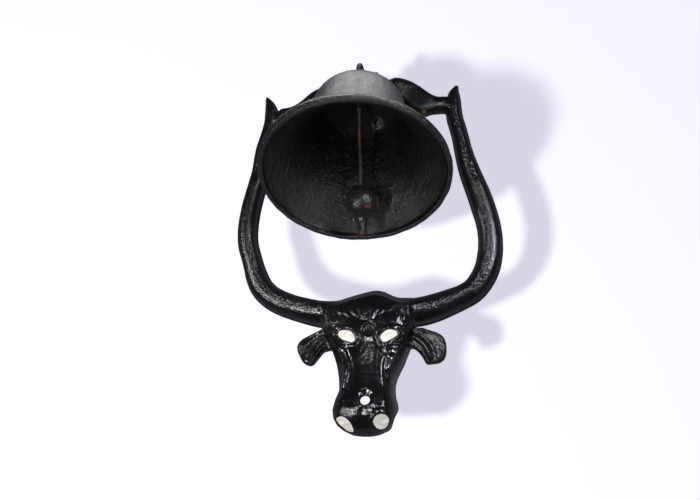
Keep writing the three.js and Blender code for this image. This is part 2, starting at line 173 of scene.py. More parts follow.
HORN_L = [(-104.2, 336.0, 2.2, 7), (-101.6, 329, 5.4, 9.4), (-99.6, 319, 7.8, 11.6), (-99.9, 309, 8.3, 12.5), (-102.2, 298, 8.8, 13),
          (-105.4, 287, 9.1, 13.4), (-108.4, 276, 9.4, 13.8), (-110.2, 264, 9.6, 14.4), (-112.2, 251, 10.0, 15), (-115.2, 238, 10.5, 15.6),
          (-118.8, 225, 10.6, 16), (-121.8, 213, 10.7, 16.5), (-124.2, 200, 10.9, 17), (-125.4, 187, 11.0, 17.3), (-125.0, 174, 11.0, 17.6),
          (-122, 162, 10.8, 18), (-118.8, 150, 11.0, 18.2), (-115.3, 138, 11.9, 18.6), (-110.2, 127, 12.2, 19), (-101, 117.2, 12.4, 19.5),
          (-90.4, 110.6, 12.7, 20), (-77.9, 105.2, 12.8, 21), (-63.6, 100.3, 13.3, 22.5), (-50.3, 96.5, 13.6, 25), (-36, 94, 14, 27.5), (-18, 92, 14, 29)]

WIDTH_Z = [-34, -32, -30, -26, -21, -14, -6, 2, 8, 14, 20, 26, 34, 40, 45, 50, 55, 60, 66, 74, 82, 90, 98, 104, 109, 113, 116, 120]
WIDTH_L = [4, 10, 17, 24.6, 30.4, 33.8, 34.4, 32.2, 30.4, 28.8, 28.6, 29.0, 30.0, 31.2, 32.6, 34.2, 36, 38, 40.4, 43.2, 45.5, 47, 47, 46, 45, 44, 44, 44]
WIDTH_R = [2, 8, 13.4, 19.8, 24.2, 26.8, 27.6, 26.4, 25.0, 24.6, 25.0, 26.8, 30.8, 34.2, 36.2, 38.4, 40.6, 42.0, 43.2, 45, 46.5, 47.5, 48, 47, 46, 45, 45, 45]
DEPTH_Z = [-34, -32, -30, -26, -21, -14, -6, 2, 10, 18, 26, 34, 42, 50, 58, 66, 74, 82, 90, 98, 104, 110, 116, 120]
DEPTH_D = [28, 34, 40, 47.6, 53, 56.6, 57.6, 56.2, 53.4, 50.8, 48.9, 47.4, 46.0, 44.8, 43.6, 42.6, 41.4, 39.8, 37.2, 33.4, 30.0, 26.2, 22.5, 20]
TOP_X = [-62, -50, -39.5, -28.6, -14.5, -1.5, 5, 9, 13, 17.8, 22, 26.2, 31, 35.7, 53.7, 62]
TOP_Z = [104, 104.2, 104.8, 107.2, 111.2, 114.4, 115.6, 115.9, 115.3, 113.6, 111.2, 108.9, 107, 106.2, 105.4, 105]

EYE_L = [(-26.6, 68.2), (-24.6, 70.9), (-20, 71.3), (-14.9, 70.2), (-11.4, 66.9), (-9.6, 62.6), (-10.2, 59.4), (-13.4, 58.6), (-18, 60.2), (-22.4, 62.4), (-25.6, 65.2)]
EYE_R = [(15.6, 60.6), (17.4, 57.8), (20.2, 57.2), (24.0, 58.9), (28.4, 61.2), (31.2, 63.6), (31.8, 66.2), (29.8, 68.4), (26.0, 69.4), (22.0, 69.0), (18.2, 66.4), (15.8, 63.4)]
NOS_R = [(7.6, -21.4), (8.8, -17.6), (12, -15.0), (16.2, -14.0), (20.0, -15.0), (22.0, -18.2), (20.8, -22.2), (17.4, -25.6), (13.2, -27.0), (9.4, -25.2)]
NOS_L = [(-28.4, -15.8), (-25.0, -14.6), (-21.0, -15.0), (-17.0, -17.8), (-13.8, -21.8), (-12.6, -26.6), (-14.4, -28.2), (-18.8, -26.6), (-23.8, -22.8), (-27.2, -19.2)]
EAR_L = [(-36, 80), (-45.2, 77.6), (-56.1, 73.4), (-65.9, 68.8), (-70.8, 63.5), (-71, 57.6), (-68.4, 51), (-65.1, 45.6), (-60.6, 42.7), (-56.2, 43), (-50.2, 49.4), (-44.8, 55.4), (-36, 59.4)]
EAR_R = [(36, 78), (48.9, 74.6), (54.5, 74.4), (61.5, 71.6), (69, 68.6), (74.4, 64), (76.6, 57.4), (76.6, 50), (74.8, 43.6), (70.2, 39.8), (64, 38.8), (57.6, 38.8), (55.0, 43.0), (51.8, 48.4), (45.2, 54.8), (36, 57)]
BAR = [(91, 320.6), (79, 323.0), (71, 327.2), (64, 332.8), (56, 338.4), (47, 343.0), (38, 345.8), (28, 346.2), (12, 344.4), (0, 343.2),
       (-12, 343.4), (-28, 343.4), (-38, 342.4), (-47, 340), (-56, 336), (-64, 330.6), (-71, 326.4), (-79, 323.4), (-91, 320.8),
       (-97, 305), (-84, 305.6), (-72, 306.8), (-65, 305.6), (-58, 304.4), (-51, 307.8), (-44, 313.6), (-36, 318.4), (-26, 320.4), (0, 320.6),
       (26, 320.4), (36, 318.4), (44, 313.4), (51, 307.2), (58, 303.6), (64, 302.6), (72, 304.6), (84, 304.8), (94, 304.6)]

eye_l, eye_r = smooth_loop(EYE_L), smooth_loop(EYE_R)
nos_l, nos_r = smooth_loop(NOS_L), smooth_loop(NOS_R)
ear_l, ear_r = smooth_loop(EAR_L, 6), smooth_loop(EAR_R, 6)


def head_width(x, z):
    return np.where(x < 0, np.interp(z, WIDTH_Z, WIDTH_L), np.interp(z, WIDTH_Z, WIDTH_R))


def head_depth(x, z, fine=True):
    """How far the face stands off the wall at (x, z)."""
    w = head_width(x, z)
    d = np.interp(z, DEPTH_Z, DEPTH_D)
    a = np.clip(np.abs(x) / w, 0, 1)
    nose = sstep((z - 2) / 12)
    p = np.where(x < 0, 3.4 - 0.9 * nose, 4.6)
    edge = np.where(x < 0, 0.56 - 0.12 * nose, 0.58)
    r = d * (edge + (1 - edge) * np.sqrt(np.maximum(0, 1 - a ** p)))
    # the crest of the poll falls away quickly to a thin rim
    top = np.interp(x, TOP_X, TOP_Z) - z
    r = r * (0.62 + 0.38 * sstep(top / 9))
    if not fine:
        return r
    f = sstep((1 - a) / 0.12)
    g = 0
    # hair on the poll: locks that fan out of one point
    for pts, h, wd in (([(-13.4, 91.6), (-10.6, 88.4), (-7.4, 85.4)], 1.5, 1.3), ([(-6.4, 93), (-4.0, 88.6), (-1.4, 84)], 1.8, 1.3), ([(-1.0, 92), (0.8, 88)], 1.2, 1.1),
                       ([(5.6, 93.4), (5.0, 88.6), (3.8, 83)], 1.9, 1.3), ([(12.8, 91.4), (10.2, 87.6), (7.4, 83)], 1.7, 1.3), ([(9.6, 95), (9.0, 91.6)], 1.0, 1.1), ([(18.6, 90), (14.4, 86.4)], 1.2, 1.3),
                       ([(-20, 90), (-15.6, 86)], 1.1, 1.5), ([(-29, 95), (-24, 90)], 0.9, 2.0), ([(29, 95), (24.6, 91)], 0.9, 2.0), ([(-8, 104), (-8.4, 99)], 0.7, 2.0), ([(13, 106), (12, 100)], 0.7, 2.0)):
        g = g + h * bump(seg_dist(x, z, smooth_path(pts, 4)), wd)
    g = g + 1.3 * bump(seg_dist(x, z, smooth_path([(4.4, 82), (8.2, 79.6), (9.3, 76.4)], 4)), 1.1) - 0.8 * bump(seg_dist(x, z, [(-2, 80.5), (4, 80), (7, 77)]), 1.2)
    # blind round spot on the forehead
    q = np.hypot(x - 4.1, z - 70.2)
    g = g - 2.3 * sstep((6.9 - q) / 1.6) + 0.5 * bump(q - 7.8, 1.2)
    # eyes: sockets, lids and the fold over them
    for loop, sgn in ((eye_l, -1), (eye_r, 1)):
        e = poly_dist(x, z, loop)
        g = g - 1.5 * sstep((0.6 - e) / 1.2)
        g = g + 1.5 * bump(e - 1.7, 1.2) - 0.5 * bump(e - 4.4, 1.5)
    g = g + 1.6 * bump(seg_dist(x, z, smooth_path([(-14.5, 73.4), (-9.4, 70), (-6.6, 65.4), (-5.8, 62)], 5)), 1.3)
    g = g + 1.5 * bump(seg_dist(x, z, smooth_path([(14.4, 69.4), (19.4, 72.2), (27, 73), (36, 71.4), (39.4, 68)], 5)), 1.4)
    g = g + 1.2 * bump(seg_dist(x, z, smooth_path([(-36, 70), (-30, 74), (-22, 75.6), (-14.5, 73.6)], 5)), 1.5)
    # cheeks and the long folds beside the nose
    g = g + 2.4 * bump(np.hypot((x + 21.5) / 1.35, z - 55.5), 4.2)
    g = g + 2.2 * bump(seg_dist(x, z, smooth_path([(-31.2, 56.5), (-25.6, 50), (-21.6, 39.4), (-19.2, 29.7), (-20.2, 20.4), (-23.6, 12.2)], 6)), 1.9)
    g = g - 1.0 * bump(seg_dist(x, z, smooth_path([(-21, 51), (-17, 40), (-14.6, 30), (-15.2, 20), (-17.5, 12)], 6)), 2.2)
    g = g - 1.2 * bump(seg_dist(x, z, smooth_path([(-30, 48), (-26.4, 38), (-24.4, 28), (-24.6, 18)], 6)), 1.6)
    g = g + 2.0 * bump(seg_dist(x, z, smooth_path([(17.6, 46), (18.1, 50.4), (23.4, 54.4), (32.8, 55.3)], 6)), 1.6)
    g = g + 2.0 * bump(np.hypot((x - 27) / 1.1, z - 47), 5.2)
    g = g + 2.1 * bump(seg_dist(x, z, smooth_path([(33.4, 50), (29.4, 43), (25.6, 35.4), (24.2, 26), (25.2, 15.6), (28, 9.3)], 6)), 1.7)
    g = g - 0.8 * bump(seg_dist(x, z, smooth_path([(13.6, 53), (12.2, 42), (11.8, 31), (12.4, 20), (14.5, 12)], 6)), 2.6)
    g = g - 1.3 * bump(seg_dist(x, z, smooth_path([(21.4, 42), (19.2, 32), (19.8, 20), (22, 12)], 6)), 1.8)
    g = g + 0.7 * bump(seg_dist(x, z, smooth_path([(16.6, 40), (15.6, 30), (16.2, 19)], 6)), 1.5)
    # shallow rings on the bridge above the screw hole
    ring = np.hypot((x - 1.4) * 1.15, z - 12)
    g = g + 0.07 * np.cos(ring * 1.45) * sstep((17 - ring) / 5) * sstep((ring - 5) / 3) * sstep((z - 9) / 5)
    # dish round the screw hole
    q = np.hypot((x - 1.6) / 8.9, (z - 3.4) / 8.4)
    g = g - 3.2 * sstep((1 - q) / 0.8) + 0.25 * bump(q - 1.12, 0.16)
    # nostrils: sunk dishes with a raised wing above
    for loop in (nos_l, nos_r):
        e = poly_dist(x, z, loop)
        g = g - 3.4 * sstep((0.8 - e) / 5.5) - 0.7 * sstep((0.5 - e) / 1.0) + 1.1 * bump(e - 1.7, 1.5)
    g = g + 0.8 * bump(seg_dist(x, z, smooth_path([(7, -9.4), (14, -7.8), (22, -8.8), (27, -13)], 5)), 2.4)
    g = g + 0.8 * bump(seg_dist(x, z, smooth_path([(-6, -9.6), (-14, -8.4), (-22, -9.4), (-27.4, -11)], 5)), 2.4)
    g = g + 1.0 * bump(np.hypot(x - 18.4, z + 1.6), 2.0)
    g = g - 0.6 * bump(seg_dist(x, z, smooth_path([(-2.4, -12), (-1, -20), (-2, -28)], 5)), 3.0)
    # collars where the horns leave the head
    for pts, h, wd in (([(-38.4, 98), (-36.8, 92), (-35, 86), (-33, 79.6)], 2.7, 1.7), ([(-41.6, 96), (-41.2, 88), (-41.2, 79)], 2.0, 1.5),
                       ([(35.6, 97), (37, 91), (39, 85), (38.6, 79)], 2.3, 1.7), ([(42.4, 96), (43.4, 90), (44.4, 82)], 1.5, 1.5)):
        g = g + h * bump(seg_dist(x, z, smooth_path(pts, 5)), wd)
    g = g - 1.5 * bump(seg_dist(x, z, [(-38.6, 92), (-37, 80)]), 1.2)
    return r + g * f


def horn_field(x, z, table):
    """Side-to-side place on the horn, its half width and its depth, at each (x, z)."""
    t = np.array(table, float)
    path = smooth_path(t[:, :2], 5)
    k = np.linspace(0, len(t) - 1, len(path))
    ww = np.interp(k, np.arange(len(t)), t[:, 2])
    dd = np.interp(k, np.arange(len(t)), t[:, 3])
    best = np.full(x.shape, 1e9, np.float32)
    W = np.zeros(x.shape, np.float32)
    Dp = np.zeros(x.shape, np.float32)
    S = np.zeros(x.shape, np.float32)
    U = np.zeros(x.shape, np.float32)
    s = 0.0
    for i in range(len(path) - 1):
        a, b = path[i], path[i + 1]
        v = b - a
        L = float(np.hypot(*v))
        tt = np.clip(((x - a[0]) * v[0] + (z - a[1]) * v[1]) / (L * L), 0, 1)
        d = np.hypot(x - a[0] - v[0] * tt, z - a[1] - v[1] * tt)
        m = d < best
        best = np.where(m, d, best)
        W = np.where(m, ww[i] + (ww[i + 1] - ww[i]) * tt, W)
        Dp = np.where(m, dd[i] + (dd[i + 1] - dd[i]) * tt, Dp)
        S = np.where(m, s + L * tt, S)
        U = np.where(m, np.sign(v[0] * (z - a[1]) - v[1] * (x - a[0])), U)
        s += L
    return best, W, Dp, S, U


def bar_depth(x):
    a = np.abs(x)
    d = 13 + 6.5 * sstep((a - 27) / 10)
    return d + (12.8 - d) * sstep((a - 46) / 30)


def frame_field(h):
    """Distance-like field of the whole casting on a grid of step h; negative inside."""
    xs = np.arange(-143, 143 + h, h, dtype=np.float32)
    ys = np.arange(-63, 3 + h, h, dtype=np.float32)
    zs = np.arange(-39, 353 + h, h, dtype=np.float32)
    X, Z = np.meshgrid(xs, zs, indexing="ij")
    F = np.full((len(xs), len(ys), len(zs)), 9.0, np.float32)

    # two-dimensional fields
    D = head_depth(X, Z)
    gx, gz = np.gradient(D, h)
    norm = np.sqrt(1 + np.minimum(gx * gx + gz * gz, 4.0))
    side = np.abs(X) - head_width(X, Z)
    topd = Z - np.interp(X, TOP_X, TOP_Z).astype(np.float32)
    jaw = sstep((-1.0 - Z) / 13)
    headzone = (np.abs(X) < 64) & (Z < 126)
    Din = head_depth(X, Z, fine=False) - 5.6 - 4.5 * sstep((-5.0 - Z) / 6)
    insidew = np.maximum(np.abs(X) - head_width(X, Z) + 5.6, np.maximum(Z - 97, -24.5 - Z))

    horns = [horn_field(X, Z, HORN_R), horn_field(X, Z, HORN_L)]
    bar_poly = poly_dist(X, Z, smooth_loop(BAR, 4))
    bd = bar_depth(X)
    earR = poly_dist(X, Z, ear_r)
    earL = poly_dist(X, Z, ear_l)
    # folds of the ears
    er = 2.3 * bump(seg_dist(X, Z, smooth_path([(41, 71), (50, 68.2), (58.6, 61.6), (64.4, 52), (65.6, 43)], 6)), 1.4) \
        + 1.9 * bump(seg_dist(X, Z, smooth_path([(40, 64.6), (46.4, 60.6), (52, 55), (56.8, 46.6)], 6)), 1.4) \
        - 2.8 * bump(seg_dist(X, Z, smooth_path([(44, 67), (52, 61.6), (58, 54), (61.4, 45)], 6)), 1.7) \
        - 1.6 * bump(seg_dist(X, Z, smooth_path([(56, 67), (65, 59.6), (69.6, 51), (70.4, 44)], 6)), 1.8) \
        + 1.6 * bump(earR + 2.0, 1.4)
    el = 2.0 * bump(seg_dist(X, Z, smooth_path([(-40, 71.6), (-50, 66), (-58, 57.6), (-62, 49)], 6)), 1.5) \
        + 1.7 * bump(seg_dist(X, Z, smooth_path([(-39.6, 63.6), (-46, 58.4), (-51.6, 52), (-55, 46.4)], 6)), 1.4) \
        - 2.6 * bump(seg_dist(X, Z, smooth_path([(-42, 67.6), (-50.4, 61), (-56.4, 53), (-59, 46.6)], 6)), 1.7) \
        - 1.6 * bump(seg_dist(X, Z, smooth_path([(-54, 69), (-62, 62.4), (-66.6, 54)], 6)), 1.8) \
        + 1.6 * bump(earL + 2.0, 1.4)
    ear = np.minimum(earR, earL)
    fold = np.where(X > 0, er, el)
    ear_tip = sstep((np.abs(X) - 40) / 34)
    ear_front = 20.5 - 2.2 * ear_tip + fold * sstep((np.abs(X) - 38) / 5) - 1.5 * bump(np.abs(X) - 60, 12)
    ear_back = 8.0 + 1.6 * ear_tip

    for j, y in enumerate(ys):
        # face of the head, its outline and the flat back
        taper = 4.6 * jaw * float(sstep(np.float64((y + 38) / 30)))
        outline = smax((side + taper) * 0.9, topd * 0.9, 5.0)
        outline = np.maximum(outline, -33.4 - Z)
        f = smax((-y - D) / norm, outline, 2.2)
        f = np.where(headzone, f, 9.0)
        # underside of the jaw
        f = np.maximum(f, (-24.0 + 0.26 * y - Z) * 0.97)
        # horns: a domed section over a thin flange at the wall
        for (dist, W, Dp, S, U), crest in zip(horns, (0.0, 0.24)):
            flange = sstep((-y - 3.0) / 1.3)
            w = np.maximum(W - 1.25 * flange * np.minimum(1, W / 6), 0.4)
            s0 = 0.34 * Dp
            v = np.maximum(0, (-y - s0) / (Dp - s0))
            su = U * dist / w
            u = np.where(su > crest, (su - crest) / (1 - crest), (crest - su) / (1 + crest))
            rho = (u ** 2.3 + v ** 2.3) ** (1 / 2.3)
            g = (rho - 1) * np.minimum(w, (Dp - s0) * 1.1)
            g = np.where(v > 0, g, dist - w)
            f = smin(f, g, 3.2)
        # crossbar: rounded ridge
        s0 = 0.4 * bd
        hw = 8.5
        inn = np.clip(-bar_poly / hw, 0, 1)
        dome = s0 + (bd - s0) * np.sqrt(np.maximum(0, 1 - (1 - inn) ** 2.2))
        g = smax((-y - dome) * 0.8, bar_poly, 1.4)
        f = smin(f, g, 2.6)
        # ears
        g = smax(ear - 0.5, np.maximum((-y - ear_front) * 0.85, (y + ear_back)), 3.4)
        g = np.where(headzone | (np.abs(X) < 90), g, 9.0)
        f = smin(f, g, 3.0)
        # hollow behind the face
        hol = np.maximum(np.maximum((-y - Din) * 0.8, insidew), -0.0 + 0 * Z)
        hol = np.where(headzone, np.maximum((-y - Din) * 0.8, np.maximum(insidew, side + taper + 5.6)), 9.0)
        f = smax(f, -hol, 1.2)
        # screw hole in the nose, with a worn edge
        f = smax(f, 4.75 - np.hypot(X - 0.4, (Z + 0.3) * 1.08), 1.0)
        # lugs, slot and bolt hole
        ax = np.abs(X)
        ly, lz = y - PIVOT[1], Z - PIVOT[2]
        lug = np.maximum(np.hypot(ly, lz) - 6.8, ax - 11)
        block = np.maximum(np.maximum(PIVOT[1] - 6.2 - y, lz - 0.5), np.maximum(322.5 - Z, ax - 11))
        g = smin(lug, block, 1.0)
        f = smin(f, g, 1.6)
        slot_ = np.maximum(ax - 4.6, np.maximum(y + 4.3, 300 - Z))
        f = smax(f, -slot_, 0.5)
        f = np.maximum(f, -np.maximum(np.hypot(ly, lz) - 3.45, ax - 30))
        # flat back on the wall
        f = smax(f, y + 0.0 * Z, 0.5)
        F[:, j, :] = f
    # rough sand-cast skin
    for js in range(0, len(ys), 8):
        yy = ys[js:js + 8]
        XX, YY, ZZ = np.meshgrid(xs, yy, zs, indexing="ij")
        near = np.abs(F[:, js:js + 8, :]) < 3
        n = np.zeros(XX.shape, np.float32)
        x, y, z = XX[near], YY[near], ZZ[near]
        n[near] = 0.16 * vnoise(x / 17, y / 17, z / 17 + 7) + 0.06 * vnoise(x / 6.1 + 5, y / 6.1, z / 6.1) + 0.05 * vnoise(x / 2.3, y / 2.3 + 9, z / 2.3)
        keep = sstep((-YY - 0.6) / 1.5)                 # the back stays flat
        F[:, js:js + 8, :] += n * keep
    return F, xs, ys, zs


def surface_nets(F, xs, ys, zs):
    """Closed quad surface of F = 0."""
    nx, ny, nz = F.shape
    s = F < 0
    c = [(0, 0, 0), (1, 0, 0), (0, 1, 0), (1, 1, 0), (0, 0, 1), (1, 0, 1), (0, 1, 1), (1, 1, 1)]
    cnt = np.zeros((nx - 1, ny - 1, nz - 1), np.int8)
    for dx, dy, dz in c:
        cnt += s[dx:nx - 1 + dx, dy:ny - 1 + dy, dz:nz - 1 + dz]
    act = (cnt > 0) & (cnt < 8)
    idx = np.full(act.shape, -1, np.int64)
    cell = np.argwhere(act)
    idx[act] = np.arange(len(cell))
    acc = np.zeros((len(cell), 3))
    num = np.zeros(len(cell))
    i, j, k = cell.T
    for a in range(8):
        for b in range(a + 1, 8):
            da, db = np.array(c[a]), np.array(c[b])
            if np.abs(da - db).sum() != 1:
                continue
            fa = F[i + da[0], j + da[1], k + da[2]]
            fb = F[i + db[0], j + db[1], k + db[2]]
            m = (fa < 0) != (fb < 0)
            t = np.where(m, fa / np.where(m, fa - fb, 1), 0)
            p = da[None] + (db - da)[None] * t[:, None]
            acc += np.where(m[:, None], p, 0)
            num += m
    v = acc / num[:, None] + cell
    h = xs[1] - xs[0]
    v = v * h + np.array([xs[0], ys[0], zs[0]])
    quads = []
    for ax in range(3):
        o = [0, 0, 0]; o[ax] = 1
        a = s[:nx - o[0], :ny - o[1], :nz - o[2]]
        b = s[o[0]:, o[1]:, o[2]:]
        e = np.argwhere(a != b)
        u, w = (ax + 1) % 3, (ax + 2) % 3
        e = e[(e[:, u] > 0) & (e[:, w] > 0) & (e[:, u] < F.shape[u] - 1) & (e[:, w] < F.shape[w] - 1)]
        flip = a[e[:, 0], e[:, 1], e[:, 2]]
        q = []
        for du, dw in ((1, 1), (0, 1), (0, 0), (1, 0)):
            f = e.copy()
            f[:, u] -= du
            f[:, w] -= dw
            q.append(idx[f[:, 0], f[:, 1], f[:, 2]])
        q = np.stack(q, 1)
        q = np.where(flip[:, None], q, q[:, ::-1])
        quads.append(q)
    q = np.vstack(quads)
    return v, q


def relax(v, q, rounds, lam):
    """A little smoothing that takes out the grid's steps."""
    e = np.vstack([q[:, [0, 1]], q[:, [1, 2]], q[:, [2, 3]], q[:, [3, 0]]])
    n = len(v)
    for r in range(rounds):
        for l in (lam, -lam * 1.04):
            s = np.zeros((n, 3))
            cn = np.bincount(e[:, 0], minlength=n).astype(float) + np.bincount(e[:, 1], minlength=n)
            for ax in range(3):
                s[:, ax] = np.bincount(e[:, 0], v[e[:, 1], ax], n) + np.bincount(e[:, 1], v[e[:, 0], ax], n)
            v = v + l * (s / cn[:, None] - v)
    return v


def new_object(name, verts, faces, smooth=True):
    me = bpy.data.meshes.new(name)
    verts = np.asarray(verts, float) / 1000.0
    if isinstance(faces, np.ndarray):
        me.vertices.add(len(verts))
        me.vertices.foreach_set("co", verts.astype(np.float32).ravel())
        m = faces.shape[1]
        me.loops.add(faces.size)
        me.loops.foreach_set("vertex_index", faces.astype(np.int32).ravel())
        me.polygons.add(len(faces))
        me.polygons.foreach_set("loop_start", np.arange(0, faces.size, m, dtype=np.int32))
        me.polygons.foreach_set("loop_total", np.full(len(faces), m, np.int32))
        me.update(calc_edges=True)
    else:
        me.from_pydata([tuple(p) for p in verts], [], faces)
    me.validate(verbose=False)
    me.update()
    if smooth:
        me.polygons.foreach_set("use_smooth", np.ones(len(me.polygons), bool))
    o = bpy.data.objects.new(name, me)
    scene.collection.objects.link(o)
    return o


STEP = 1.0
F, xs, ys, zs = frame_field(STEP)
v, q = surface_nets(F, xs, ys, zs)
v = relax(v, q, 3, 0.45)
back = v[:, 1] > -0.35
v[back, 1] = np.minimum(v[back, 1], 0.0)
v[:, 1] = np.minimum(v[:, 1], 0.0)
# leave out anything that isn't part of the one casting
e = np.vstack([q[:, [0, 1]], q[:, [1, 2]]])
label = np.arange(len(v))
for _ in range(400):
    m = np.minimum(label[q].min(1), label[q].min(1))
    new = label.copy()
    for c in range(4):
        np.minimum.at(new, q[:, c], m)
    new = new[new]
    if (new == label).all():
        break
    label = new
main = np.bincount(label).argmax()
keep = label == main
remap = np.cumsum(keep) - 1
q = remap[q[keep[q].all(1)]]
v = v[keep]
print("frame mesh", len(v), len(q))
casting = new_object("steer_casting", v, q)


# ------------------------------------------------------------ enamel patches
def depth_map():
    """How far the finished casting stands off the wall, column by column of the grid."""
    neg = F < 0
    j = np.argmax(neg, axis=1)
    j = np.clip(j, 1, None)
    I, K = np.meshgrid(np.arange(F.shape[0]), np.arange(F.shape[2]), indexing="ij")
    fb, fa = F[I, j, K], F[I, j - 1, K]
    t = fa / np.where(np.abs(fa - fb) < 1e-6, 1, fa - fb)
    y = ys[j - 1] + np.clip(t, 0, 1) * (ys[1] - ys[0])
    return np.where(neg.any(1), -y, 0)


DM = depth_map()


def depth_at(x, z):
    """Depth of the finished face at points."""
    x, z = np.asarray(x, float), np.asarray(z, float)
    h = xs[1] - xs[0]
    fx, fz = np.clip((x - xs[0]) / h, 0, len(xs) - 2.001), np.clip((z - zs[0]) / h, 0, len(zs) - 2.001)
    i, k = fx.astype(int), fz.astype(int)
    a, b = fx - i, fz - k
    return (DM[i, k] * (1 - a) + DM[i + 1, k] * a) * (1 - b) + (DM[i, k + 1] * (1 - a) + DM[i + 1, k + 1] * a) * b


def enamel(name, loop, centre, crown, proud, sink=1.6, rings=9, reach=1.0):
    loop = np.asarray(loop, float)
    n = len(loop)
    c = np.array(centre, float)
    verts, faces = [], []
    ks = [math.sin(k / rings * math.pi / 2) for k in range(1, rings + 1)]
    x0, z0 = c
    floor_ = depth_at([x0], [z0])[0] - 14.0
    verts.append((x0, -(depth_at([x0], [z0])[0] + proud + crown), z0))
    for k in ks:
        ring = c + (loop - c) * k * reach
        wob = 1 + 0.02 * np.sin(np.arange(n) * 0.9) * (k > 0.9)
        ring = c + (ring - c) * wob[:, None]
        dep = np.maximum(depth_at(ring[:, 0], ring[:, 1]), floor_)
        t = crown * (1 - k ** 2) + proud * math.sqrt(max(0.0, 1 - k ** 8)) + 0.22 * vnoise(ring[:, 0] / 3.1, ring[:, 1] / 3.1, ring[:, 0] * 0 + 5)
        for (x, z), d, u in zip(ring, dep, t):
            verts.append((x, -(d + u), z))
    # edge rolls down into the casting and closes behind
    ring = c + (loop - c) * 1.0 * reach
    dep = np.maximum(depth_at(ring[:, 0], ring[:, 1]), floor_)
    for (x, z), d in zip(ring, dep):
        verts.append((x, -(d - sink), z))
    verts.append((x0, -(depth_at([x0], [z0])[0] - sink), z0))
    last = len(verts) - 1
    R = rings + 1
    for i in range(n):
        j = (i + 1) % n
        faces.append((0, 1 + i, 1 + j))
        for r in range(R - 1):
            a = 1 + r * n
            faces.append((a + i, a + n + i, a + n + j, a + j))
        a = 1 + (R - 1) * n
        faces.append((a + i, last, a + j))
    o = new_object(name, verts, faces)
    import bmesh
    bm = bmesh.new()
    bm.from_mesh(o.data)
    bmesh.ops.recalc_face_normals(bm, faces=bm.faces)
    bm.to_mesh(o.data)
    bm.free()
    return o


en_el = enamel("eye_white_left", eye_l, (-18.2, 65.0), 0.9, 0.9)
en_er = enamel("eye_white_right", eye_r, (24.4, 63.4), 0.9, 0.9)
en_nl = enamel("nostril_white_left", nos_l, (-19.2, -21.6), 0.15, 0.55)
en_nr = enamel("nostril_white_right", nos_r, (16.2, -20.6), 0.15, 0.55)

# ------------------------------------------------------------------- the bell
BELL_IN = [(0, 111.6), (12, 111.4), (23, 110), (31, 106.8), (36.4, 101.8), (39.6, 95), (41.8, 86.5), (44, 77),
           (46.4, 67), (49.6, 56.4), (54, 45.4), (60, 34.4), (67.8, 24.2), (76.6, 15.6), (84.0, 9.2), (87.6, 5.9), (89.3, 3.9), (89.7, 2.2), (89.9, 0.8)]
BELL_OUT = [(90.5, 0.15), (92.2, 0.0), (93.8, 0.15), (94.8, 1.2), (95.1, 3.2), (94, 6.4), (90.6, 9.8), (84.4, 14.6), (76.6, 21.4),
            (69.4, 29.6), (63, 39), (58.2, 49.2), (54.6, 60), (51.9, 71), (49.7, 82), (47.8, 92), (45.4, 100),
            (41.2, 106.8), (34.6, 112), (25.5, 115.8), (13, 117.8), (0, 118)]


def bell_to_row(p):
    """Points in the bell's own frame, mouth at 0 and axis up, to the row frame."""
    p = np.asarray(p, float)
    dz = p[:, 2] - H_PIVOT
    y = p[:, 1] * math.cos(TILT) + dz * math.sin(TILT)
    z = -p[:, 1] * math.sin(TILT) + dz * math.cos(TILT)
    return np.stack([p[:, 0], y + PIVOT[1], z + PIVOT[2]], 1)


prof = np.vstack([smooth_path(BELL_IN, 5), smooth_path(BELL_OUT, 5)])
prof = prof[~((prof[:, 0] < 0.4) & (np.arange(len(prof)) > 0) & (np.arange(len(prof)) < len(prof) - 1))]
SEG = 240
th = np.linspace(0, 2 * np.pi, SEG, endpoint=False)
r, hgt = prof[1:-1, 0], prof[1:-1, 1]
n_in = int(np.argmin(np.abs(hgt) + np.abs(r - 92.3)))
isin = np.arange(len(r)) <= n_in
tang = np.gradient(np.stack([r, hgt], 1), axis=0)
nrm = np.stack([tang[:, 1], -tang[:, 0]], 1)
nrm /= np.linalg.norm(nrm, axis=1)[:, None]
R_, T_ = np.meshgrid(r, th, indexing="ij")
H_ = np.meshgrid(hgt, th, indexing="ij")[0]
px, py, pz = R_ * np.cos(T_), R_ * np.sin(T_), H_
mid_in = len(r) // 5
LUMP_SIGN = 1.0 if (nrm[mid_in, 0] < 0) else -1.0     # the inner wall's open side faces the axis
amp = np.where(isin, 0.15, 0.13)[:, None]
dn = amp * (vnoise(px / 13 + 3, py / 13 + 50, pz / 13 + 20) + 0.55 * vnoise(px / 5.2 + 9, py / 5.2 + 33, pz / 5.2)) \
    + 0.12 * vnoise(px / 2.4 + 11, py / 2.4 + 70, pz / 2.4 + 5)
# lip: slightly uneven where it was ground
lip = np.exp(-((H_ - 2) / 4) ** 2) * (R_ > 88)
dn = dn + lip * 0.35 * vnoise(px / 7, py / 7 + 21, pz * 0 + 2)
# the bead is heavier at the front and the ground face a little low at the back
dn = dn + (~isin)[:, None] * 1.9 * np.maximum(0, -np.sin(T_)) ** 1.5 * np.exp(-((H_ - 3.5) / 5.0) ** 2) * (R_ > 86)
pz = pz - 1.2 * np.maximum(0, np.sin(T_)) ** 1.5 * np.exp(-(H_ / 6.0) ** 2) * (R_ > 84)
# fine circular step lines on the outside
band = (~isin)[:, None] * (0.10 * np.sin(H_ * 1.9 + 0.6 * vnoise(px / 20, py / 20, pz / 20)) * (H_ > 8))
dn = dn + band
